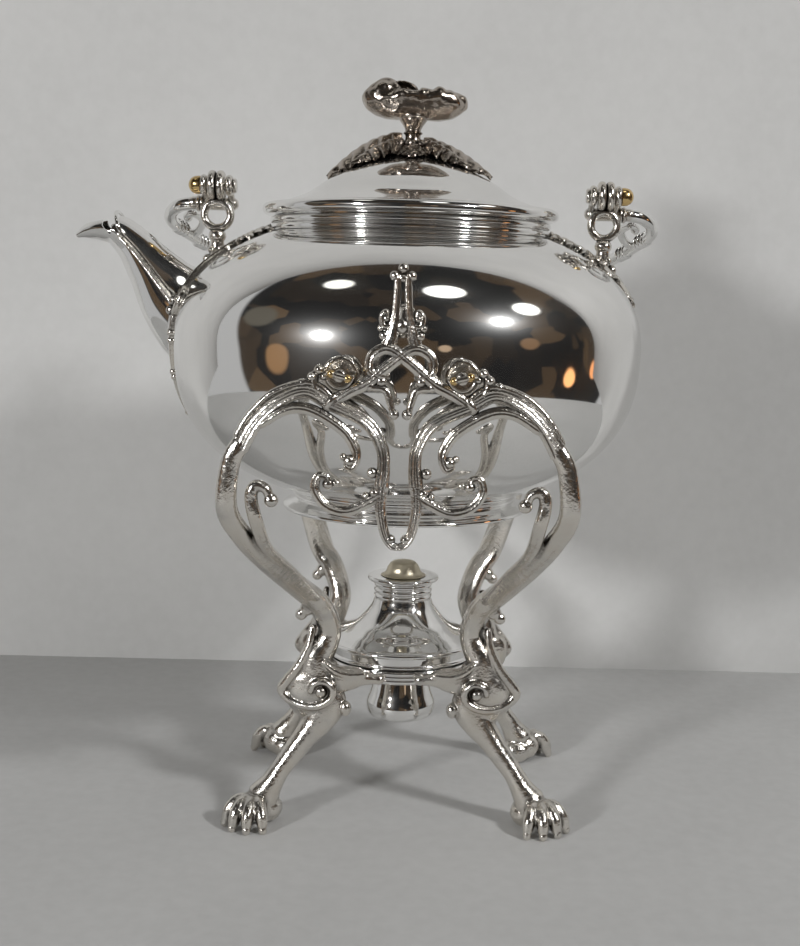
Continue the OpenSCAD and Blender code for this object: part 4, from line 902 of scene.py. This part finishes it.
def makeStand():
    ornaments = {"frame": intoPlane(bothHalves(frameHalf())), "lance": intoPlane(lanceWhole()),
                 "hanger": intoPlane(hangerWhole())}
    for where, sy in flanks:
        for kind, shape in ornaments.items():
            castPiece(kind.capitalize() + where.capitalize(), turnedOver(shape, 1, sy), "stand",
                      [kind + "_" + where])
    leg = None
    for where, sy in flanks:
        for hand, sx in hands:
            name, node = "Leg" + where.capitalize() + hand.capitalize(), "leg_" + where + "_" + hand
            if leg:
                castPiece(name, turnedOver(leg, sx, sy), "stand", [node], 180)
                continue
            piece = castPiece(name, turnedOver(legWhole(), sx, sy), "stand", [node])
            weld(piece, 0.42, 2)
            cutBelow(piece, 0)
            leg = turnedOver({"points": [v.co / mm for v in piece.data.vertices],
                              "faces": [tuple(p.vertices) for p in piece.data.polygons]}, sx, sy)
    # Ring with reeded edges
    bore, low = stand["ring"] - stand["band"], stand["ringHeight"]
    profile = [(bore, low), (stand["ring"] - 0.3, low)]
    for i in range(3):
        profile += arcLine((stand["ring"] - 0.6, low + 0.85 + 1.65 * i), 0.8, -65, 65, 6)
    profile += [(stand["ring"] - 0.3, ringTop), (bore, ringTop)]
    turnedPiece("BurnerRing", profile, "stand", "burner_ring", 128)


makeStand()
print("stand made")


# Burner

def makeBurner():
    z, r, n = stand["ringHeight"], burner["bowl"], burner["neck"]
    profile = [(0, z - 6.5), (n - 0.3, z - 6.5), (r - 4, z - 2.6), (r - 0.5, z - 0.7), (r, z + 0.6),
               (r, ringTop + 0.3)]
    profile += arcLine((r + 1.1, ringTop + 1.2), 0.9, -90, 40, 6)
    profile += [(r + 1.3, ringTop + 2.2), (r + 1.4, bowlTop - 2.2)]
    profile += arcLine((rimRadius - 1.1, bowlTop - 1.05), 1.05, -80, 90, 8)
    profile += [(r - 1, bowlTop), (r - 1, z + 0.6), (r - 1.6, z - 0.2), (n - 0.8, z - 5.5), (0, z - 5.5)]
    turnedPiece("BurnerBowl", profile, "burner", "burner_bowl", 128)

    top, low = z - 6.5, ringTop - burner["depth"] - stand["ringDepth"]
    line = smoothLine([(n - 0.4, top), (n + 0.2, top - 3), (n + 1, top - 6.4), (n + 2.2, top - 9.4),
                       (n + 2.7, top - 12), (n + 2.2, low + 2), (n + 0.9, low + 0.3), (n - 1, low)], 5)
    turnedPiece("BurnerCup", [(0, top)] + [tuple(p) for p in line] + [(0, low)], "burner", "burner_cup", 96)

    z, rise = bowlTop, burner["cover"]
    line = smoothLine([(rimRadius - 0.8, z), (rimRadius - 2.4, z + rise * 0.04), (rimRadius - 5.8, z + rise * 0.15),
                       (rimRadius - 12.8, z + rise * 0.36), (n + 1.8, z + rise * 0.76), (n, coverTop)], 8)
    profile = [tuple(p) for p in line] + [(burner["wick"], coverTop), (burner["wick"], coverTop - 1)]
    profile += [(p[0] - 0.9, p[1] - 0.5) for p in reversed(line) if z + 0.6 < p[1] < coverTop - 1.2]
    turnedPiece("BurnerCover", profile + [(rimRadius - 4, z)], "burner", "burner_cover", 128)

    profile = [(n - 2, coverTop), (n - 0.4, coverTop)]
    for i in range(3):
        profile += arcLine((n - 1, coverTop + 1.3 + 2.5 * i), 1.25, -72, 72, 8)
    profile += [(n - 0.7, neckTop), (n - 2, neckTop)]
    turnedPiece("BurnerNeckRing", profile, "burner", "burner_neck_ring", 96)



def makeSnuffer():
    r, low, n = burner["brim"], neckTop + 0.3, burner["neck"]
    profile = [(burner["wick"] + 2.6, low), (n - 3.2, low), (n - 3.2, low - 2.4), (n - 2.4, low - 2.4),
               (n - 2.4, low)]
    profile += arcLine((r - 1, low + 1), 1, -90, 90, 8)
    profile += [(r - 3, low + 1.8), (r - 5, low + 1.75), (burner["wick"] + 2.6, low + 2)]
    turnedPiece("SnufferBrim", profile, "snuffer", "snuffer_brim_plate", 96)

    r, low, rise = burner["wick"] + 4.7, neckTop + 2.3, burner["dome"]
    outer = [tuple(p) for p in smoothLine([(r, low), (r - 1.3, low + 0.5), (r - 2.3, low + rise * 0.28),
                                           (r - 3.1, low + rise * 0.58), (r - 5.1, low + rise * 0.89),
                                           (0.4, low + rise)], 5)]
    inner = [(p[0] * 0.9, low + (p[1] - low) * 0.85) for p in outer]
    shape = newShape()
    addTurned(shape, [(0, low + rise)] + list(reversed(outer)) + inner + [(0, low + rise * 0.85)], None, 96)
    makePiece("SnufferDome", shape, dullSilver, "snuffer", ["snuffer_dome"], 50)


makeBurner()
makeSnuffer()
print("burner made")


# Ears, hinges, trunnions and handle

def sideways(x, z):
    # Turned outlines that lie along x
    return Matrix.Translation((x, 0, z)) @ Matrix.Rotation(math.radians(90), 4, "Y")


def roll(radius, width, inside, corner):
    return ([(inside, 0), (radius - corner, 0)]
            + arcLine((radius - corner, width / 2), min(width / 2, corner), -90, 90, 12)
            + [(radius - corner, width), (inside, width)])


def silverWhere(piece, isSilver):
    # Gilt elsewhere
    piece.data.materials.append(castSilver)
    for face in piece.data.polygons:
        face.material_index = 1 if isSilver(face.center / mm) else 0


def addStandingRing(shape):
    rings = []
    for c, s in roundOutline(56):
        ring = []
        for a, b in roundOutline():
            out = hinge["ring"] - hinge["tube"] + hinge["tube"] * a
            ring.append(Vector((hinge["reach"] + out * c, hinge["tube"] * b, earHeight + out * s)))
        rings.append(ring)
    addRings(shape, rings, True)


def makeEars():
    start = hinge["reach"] - hinge["inward"]
    end = hinge["reach"] + hinge["outward"]
    cap = start + 13.5
    for hand, sx in hands:
        shape = newShape()
        addStandingRing(shape)
        low = earHeight - hinge["ring"]
        foot = shoulderHeight(hinge["reach"]) - 2
        addTurned(shape, smoothLine([(0, foot), (4.6, foot + 0.01), (3.8, foot + 2.4), (2.7, low - 4.2),
                                     (3.3, low - 2.9), (3.6, low - 1.2), (2.6, low + 0.6), (0, low + 1.4)], 4),
                  Matrix.Translation((hinge["reach"], 0, 0)), 40)
        for dx, dy, dz, r in ((0, 3.6, 4, 2.4), (-3.6, 2.4, 3.4, 2.2), (3.6, 2.2, 2, 2.2), (-1.8, 3.2, 6.4, 1.5),
                              (1.9, 3.2, 5.8, 1.5)):
            for s in (-1, 1):
                addBall(shape, (hinge["reach"] + dx, s * dy, foot + dz), r, None, 16)
        for i in range(2):
            addTurned(shape, roll(hinge["large"], 3.45, hinge["pin"] + 0.05, 1.7),
                      sideways(start + 3.3 + 3.45 * i, hingeHeight), 48)
        castPiece("Ear" + hand.capitalize(), turnedOver(shape, sx, 1), "kettle", ["ear_" + hand], 50)

        shape = newShape()
        for x in (start, start + 10.5):
            addTurned(shape, roll(hinge["small"], 3, hinge["pin"], 1.4), sideways(x, hingeHeight), 48)
        for x in (start + 1.5, start + 12):
            addBar(shape, [(x, 1.8, hingeHeight - 1.6, 1.4, 1.4), (x, 5, hingeHeight - 4.4, 1.3, 1.4),
                           (x, hinge["back"], hingeHeight - hinge["drop"], 1.5, 1.4)], side, roundOutline(16), 5)
        z = hingeHeight - hinge["drop"]
        addBar(shape, [(start + 1.5, hinge["back"], z, 2.7, 2.7), (start + 12, hinge["back"], z, 2.7, 2.7),
                       (end, hinge["back"], z, 2.7, 2.7)], front, roundOutline(24), 6)
        for dx, r in ((1.5, 3.2), (14.2, 3.5), (15.7, 3.5)):
            addBall(shape, (start + dx, hinge["back"], z), (1.4, r, r))
        castPiece("Knuckle" + hand.capitalize(), turnedOver(shape, sx, 1), "handle", ["knuckle_" + hand], 50)

        shape = newShape()
        profile = [(0, start - 1.4), (2.6, start - 1.4), (3, start - 1), (3, start - 0.1), (2, start), (2, cap),
                   (3.7, cap), (3.75, cap + 1.1)]
        profile += arcLine((0, cap + 1.2), 3.7, 2, 82, 10) + [(0, cap + 4.9)]
        addTurned(shape, profile, sideways(0, hingeHeight), 40)
        pin = makePiece("HingePin" + hand.capitalize(), turnedOver(shape, sx, 1), giltSilver, "handle",
                        ["hinge_pin_" + hand], 50)
        silverWhere(pin, lambda middle: abs(middle.x) < cap - 0.5)


def makeTrunnions():
    begin = stand["plane"] - stand["depth"] / 2 - 4.6
    reach = stand["plane"] + stand["depth"] / 2 + 1.6
    root = math.sqrt(kettle["radius"] ** 2 - (stand["apart"] + 4) ** 2) - 1.5
    centre = Vector((stand["apart"], -reach, stand["trunnion"]))
    place = Matrix.Translation((stand["apart"], 0, stand["trunnion"])) @ Matrix.Rotation(math.radians(90), 4, "X")
    for where, sy in flanks:
        for hand, sx in hands:
            shape = newShape()
            profile = [(2.3, root), (3.7, root), (3.7, begin), (5.4, begin + 0.9)]
            profile += arcLine((5.4, begin + 2.05), 1.2, -70, 110, 8)
            profile += [(4.4, begin + 2.6), (2.3, begin + 2.2)]
            addTurned(shape, profile, place, 48)
            castPiece("Boss" + where.capitalize() + hand.capitalize(), turnedOver(shape, sx, sy), "kettle",
                      ["boss_" + where + "_" + hand], 50)
            shape = newShape()
            profile = [(0, root), (2.2, root + 0.01), (2.2, reach - 0.4), (1.8, reach), (0, reach + 0.1)]
            addTurned(shape, profile, place, 32)
            for s in (-1, 1):
                out = Vector((math.cos(math.radians(15)), 0, math.sin(math.radians(15)))) * s
                addBar(shape, [(*centre, 1, 1), (*(centre + out * 2.9), 0.9, 0.9)], front, roundOutline(14), 3)
                addBall(shape, centre + out * 2.9, 1.5, None, 16)
            pin = makePiece("Pin" + where.capitalize() + hand.capitalize(), turnedOver(shape, sx, sy), giltSilver,
                            "kettle", ["pin_" + where + "_" + hand], 50)
            silverWhere(pin, lambda middle: math.hypot(middle.x - sx * stand["apart"],
                                                       middle.z - stand["trunnion"]) < 2.3)


def makeHandle():
    x = hinge["reach"] + hinge["outward"]
    back, z, r = hinge["back"], hingeHeight - hinge["drop"], handle["bar"]
    half = newShape()
    across = Vector((0.2, 0.5, 1))
    addBar(half, [
        (*point, r, r) for point in (
            (x - 1.5, back, z), (x + 5.4, back + 2, z - 0.8), (x + 10.6, back + 8, z - 3.4),
            (x + 12, back + 16, z - 7.2), (x + 8, back + 31, z - 11.6), (x + 1.5, back + 46, z - 16.6),
            (x - 8, back + 61, z - 22.4), (x - 26, back + 75, gripHeight + 5.4),
            (x - 46, gripBack - 4, gripHeight + 1.8), (28, gripBack, gripHeight + 0.2),
            (10, gripBack + 0.3, gripHeight), (0, gripBack + 0.35, gripHeight))], across, roundOutline(28), 8,
        (False, True))
    addBar(half, [(x + 7, back + 34, z - 12.4, 1.8, 1.8), (x + 2, back + 27, z - 9.4, 1.9, 1.9),
                  (x - 0.6, back + 18, z - 5.6, 1.8, 1.8), (x + 2.6, back + 11.4, z - 3.6, 1.6, 1.6),
                  (x + 5.4, back + 13.6, z - 4.8, 1.4, 1.4)], across, roundOutline(20), 8)
    addBall(half, (x + 5, back + 14.6, z - 5.3), 2)
    for px, py, pz in ((x + 9.9, back + 23.4, -9.4), (x + 4.2, back + 40.6, -14.7)):
        for k in (-1, 0, 1):
            addBall(half, (px - 1.15 * k, py + 2.1 * k, z + pz - 0.65 * k), (r + 0.8, 1.3, r + 0.8),
                    Matrix.Rotation(math.radians(28), 3, "Z"))
    makePiece("BailHandle", bothHalves(half), polishedSilver, "handle", ["bail"], 60)


makeEars()
makeTrunnions()
makeHandle()
print("hinges and handle made")


# Cast ornament on the kettle

def onBelly(z, y, lift):
    r = bellyRadius(z) + lift
    return (-math.sqrt(max(r * r - y * y, 0)), y, z)


def onShoulder(r, y, lift):
    return (-math.sqrt(max(r * r - y * y, 0)), y, shoulderHeight(r) + lift)


def makeStraps():
    x, z = spoutTip, neckHeight
    root = bellyRadius(z - 32)
    reed, plain = reededOutline(2, 0.22, 32), roundOutline(14)
    for where, s in (("Front", -1), ("Rear", 1)):
        shape = newShape()

        def onSeam(i, lift):
            return onBelly(z - 31 - 5.6 * i, s * (18.5 - 0.28 * (5.6 * i / 7.2) ** 2), lift)
        addBar(shape, [(x + 20, s * 9.6, z - 4, 1.5, 1.8), (x + 27, s * 11.4, z - 11, 1.6, 2.1),
                       (x + 36, s * 13.2, z - 22, 1.8, 2.5), (x + 42, s * 15.8, z - 28.6, 2.1, 2.8)],
               front, reed, 8)
        # Knot where the straps meet
        for dx, dy, dz, r in ((43, 16.2, -29.4, 3), (40, 15.4, -26.2, 2), (46.4, 17.2, -26.4, 2.2),
                              (41.6, 17, -33.4, 2.2), (47.6, 19.4, -30.6, 1.9)):
            addBall(shape, (x + dx, s * dy, z + dz), (r, r * 0.8, r))
        branch = []
        for i in range(6):
            r = root - 2 - 5.2 * i
            branch.append((*onShoulder(r, s * (17 - 2.4 * i), 1.1), 1.5, 2.2 - 0.15 * i))
        addBar(shape, branch, front, reed, 8)
        curl = []
        for i in range(6):
            a = math.radians(55 * i)
            height = z - 28.5 - (5.2 - 0.4 * i) * math.cos(a)
            curl.append((*onBelly(height, s * (22 + (4.6 - 0.4 * i) * math.sin(a)), 0.8), 1.35, 1.3))
        addBar(shape, curl, Vector((0.8, 0.2, -0.5)), plain, 8)
        addBall(shape, curl[-1][:3], 1.9)
        # Tapering rib down the seam, with a double node and a bead further on
        rib = [(*onSeam(i, 0.5), 1.5 - 0.11 * i, 1.6 - 0.12 * i) for i in range(10)]
        addBar(shape, rib, front, plain, 6)
        for i, r in ((2, 1.9), (2.6, 1.7), (4.9, 1.6), (5.3, 1.4), (8, 1.2)):
            addBall(shape, onSeam(i, 0.6), r)
        castPiece("SpoutStrap" + where, shape, "kettle", ["spout_strap_" + where.lower()])


def makeEarLeaves():
    rows, columns, teeth = 54, 17, 11
    inner = kettle["neck"] + 0.9
    for hand, sx, outer in (("left", -1, kettle["radius"] - 18), ("right", 1, kettle["radius"] - 3)):
        shape = newShape()
        grid = []
        for i in range(rows):
            t = i / (rows - 1)
            r = inner + (outer - inner) * t
            half = 2.4 + 7.2 * math.sin(math.pi * (0.08 + 0.86 * t)) ** 0.8
            half *= 1 + 0.3 * math.sin(t * teeth * math.pi)
            row = []
            for j in range(columns):
                c = 2 * j / (columns - 1) - 1
                y = c * half
                reach = min(r + 2.2 * abs(c) * math.cos(t * teeth * math.pi), kettle["radius"] - 0.5)
                x = math.sqrt(max(reach * reach - y * y, 1))
                ripple = 0.9 * math.cos(c * 3 * math.pi) + 0.9 * math.cos((teeth * t + 1.6 * abs(c)) * math.pi)
                row.append(Vector((x, y, shoulderHeight(reach) + 1.5 + 0.6 * ripple - 0.9 * c * c)))
            grid.append(row)
        addSheet(shape, grid, lambda a, b: 2.2)
        for t, away, r in ((0.12, 4.6, 2), (0.3, 6.2, 2.1), (0.52, 5.6, 1.9), (0.72, 3.8, 1.6)):
            q = inner + (outer - inner) * t
            for y in (away, -away):
                addBall(shape, (math.sqrt(q * q - y * y), y, shoulderHeight(q) + 1), (r * 1.3, r * 0.8, r * 0.8),
                        Matrix.Rotation(math.radians(30 if y > 0 else -30), 3, "Z"), 14)
        castPiece("EarLeaf" + hand.capitalize(), turnedOver(shape, sx, 1), "kettle", ["ear_leaf_" + hand])


makeStraps()
makeEarLeaves()
for name, look in (("wick", cotton), ("wick_tube", polishedSilver), ("saddle_front_left", castSilver),
                   ("saddle_front_right", castSilver), ("saddle_rear_left", castSilver),
                   ("saddle_rear_right", castSilver)):
    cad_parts[name].data.materials.clear()
    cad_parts[name].data.materials.append(look)
print("ornament made")


# Room

def direction(azimuth, height):
    a, e = math.radians(azimuth), math.radians(height)
    return Vector((math.sin(a) * math.cos(e), -math.cos(a) * math.cos(e), math.sin(e)))


def makePlane(name, corners, look):
    mesh = bpy.data.meshes.new(name)
    mesh.from_pydata(corners, [], [tuple(range(len(corners)))])
    piece = bpy.data.objects.new(name, mesh)
    bpy.context.collection.objects.link(piece)
    piece.data.materials.append(look)


def roomLook(name, colour, oneSided):
    look, tree, out, place = newLook(name)
    tone = mixColour(tree, remap(tree, noiseNode(tree, place, 7, 4), 0.35, 0.65, 0, 1),
                     [c * 0.93 for c in colour], colour)
    tone = mixColour(tree, remap(tree, noiseNode(tree, place, 160, 2), 0.3, 0.7, 0, 0.06), tone, (1, 1, 1))
    paint = addNode(tree, "ShaderNodeBsdfPrincipled", {}, {"Base Color": tone, "Roughness": 0.7})
    if oneSided:
        # Seen from behind it isn't there, so that it hides nothing
        seen = addNode(tree, "ShaderNodeNewGeometry")
        clear = addNode(tree, "ShaderNodeBsdfTransparent")
        paint = mixShader(tree, seen.outputs["Backfacing"], paint, clear)
    tree.links.new(paint.outputs[0], out.inputs[0])
    return look


def makeTable():
    reach, back = room["tableRadius"], room["tableBack"]
    rim = [(reach * math.sin(math.radians(a)), -reach * math.cos(math.radians(a)), 0)
           for a in range(-108, 109, 2)]
    corner = math.sqrt(reach ** 2 - back ** 2)
    makePlane("Table", [(-corner, back, 0)] + [p for p in rim if p[1] < back] + [(corner, back, 0)],
              roomLook("TableTop", room["table"], False))
    far = room["wallReach"]
    makePlane("Wall", [(-far, back, 0), (far, back, 0), (far, back, far), (-far, back, far)],
              roomLook("WallPaper", room["wall"], True))


def facing(tree, place, aim):
    return addNode(tree, "ShaderNodeVectorMath", {"operation": "DOT_PRODUCT"}, {0: place, 1: aim}).outputs["Value"]


def makeWorld():
    world = bpy.data.worlds.new("Room")
    bpy.context.scene.world = world
    world.use_nodes = True
    tree = world.node_tree
    tree.nodes.clear()
    out = addNode(tree, "ShaderNodeOutputWorld")
    place = addNode(tree, "ShaderNodeTexCoord").outputs["Generated"]
    height = addNode(tree, "ShaderNodeSeparateXYZ", {}, {0: place}).outputs[2]
    # The half of the room behind the eye is dark, the half behind the object is the pale backdrop
    edge = remap(tree, facing(tree, place, direction(14, 12)), -0.13, -0.17, 0, 1)
    # Shelves, boards and small lamps in the dark half
    boards = addNode(tree, "ShaderNodeTexVoronoi", {"distance": "CHEBYCHEV"}, {"Vector": place, "Scale": 3.4})
    dark = mixColour(tree, remap(tree, boards.outputs["Color"], 0.5, 0.95, 0, 1), [room["dark"]] * 3, room["shelf"])
    for azimuth, rise, size, tone in room["lamps"]:
        inside = remap(tree, facing(tree, place, direction(azimuth, rise)), math.cos(math.radians(size * 1.15)),
                       math.cos(math.radians(size * 0.85)), 0, 1)
        dark = mixColour(tree, inside, dark, tone)
    pale = mixColour(tree, remap(tree, height, -0.1, 0.9, 0, 1), [room["bright"] * 0.92] * 3,
                     [room["bright"]] * 3)
    glow = addNode(tree, "ShaderNodeBackground", {}, {"Color": mixColour(tree, edge, dark, pale), "Strength": 1})
    plain = addNode(tree, "ShaderNodeBackground", {}, {"Color": (*[room["air"]] * 3, 1), "Strength": 1})
    ray = addNode(tree, "ShaderNodeLightPath")
    tree.links.new(mixShader(tree, ray.outputs["Is Camera Ray"], glow, plain).outputs[0], out.inputs[0])


def addLamp(name, azimuth, rise):
    data = bpy.data.lights.new(name, "AREA")
    data.shape = "DISK"
    data.size = room["keySize"]
    data.energy = room["keyWatts"]
    lamp = bpy.data.objects.new(name, data)
    bpy.context.collection.objects.link(lamp)
    lamp.location = direction(azimuth, rise) * room["keyReach"] + Vector((0, 0, 0.2))
    lamp.rotation_euler = (Vector((0, 0, 0.15)) - lamp.location).to_track_quat("-Z", "Y").to_euler()


makeTable()
makeWorld()
for name, azimuth, rise in room["keyLamps"]:
    addLamp(name, azimuth, rise)

camera = bpy.data.cameras.new("Camera")
camera.sensor_fit = "HORIZONTAL"
camera.sensor_width = 36
camera.lens = view["lens"]
camera.shift_x = view["shift"]
camera.clip_start = 0.01
eye = bpy.data.objects.new("Camera", camera)
bpy.context.collection.objects.link(eye)
eye.location = view["place"]
turn, tilt, rolled = [math.radians(view[key]) for key in ("turn", "tilt", "roll")]
eye.rotation_euler = (Matrix.Rotation(turn, 4, "Z") @ Matrix.Rotation(tilt, 4, "X")
                      @ Matrix.Rotation(rolled, 4, "Z")).to_euler()
bpy.context.scene.camera = eye
bpy.context.scene.view_settings.view_transform = "Standard"
print("room made")
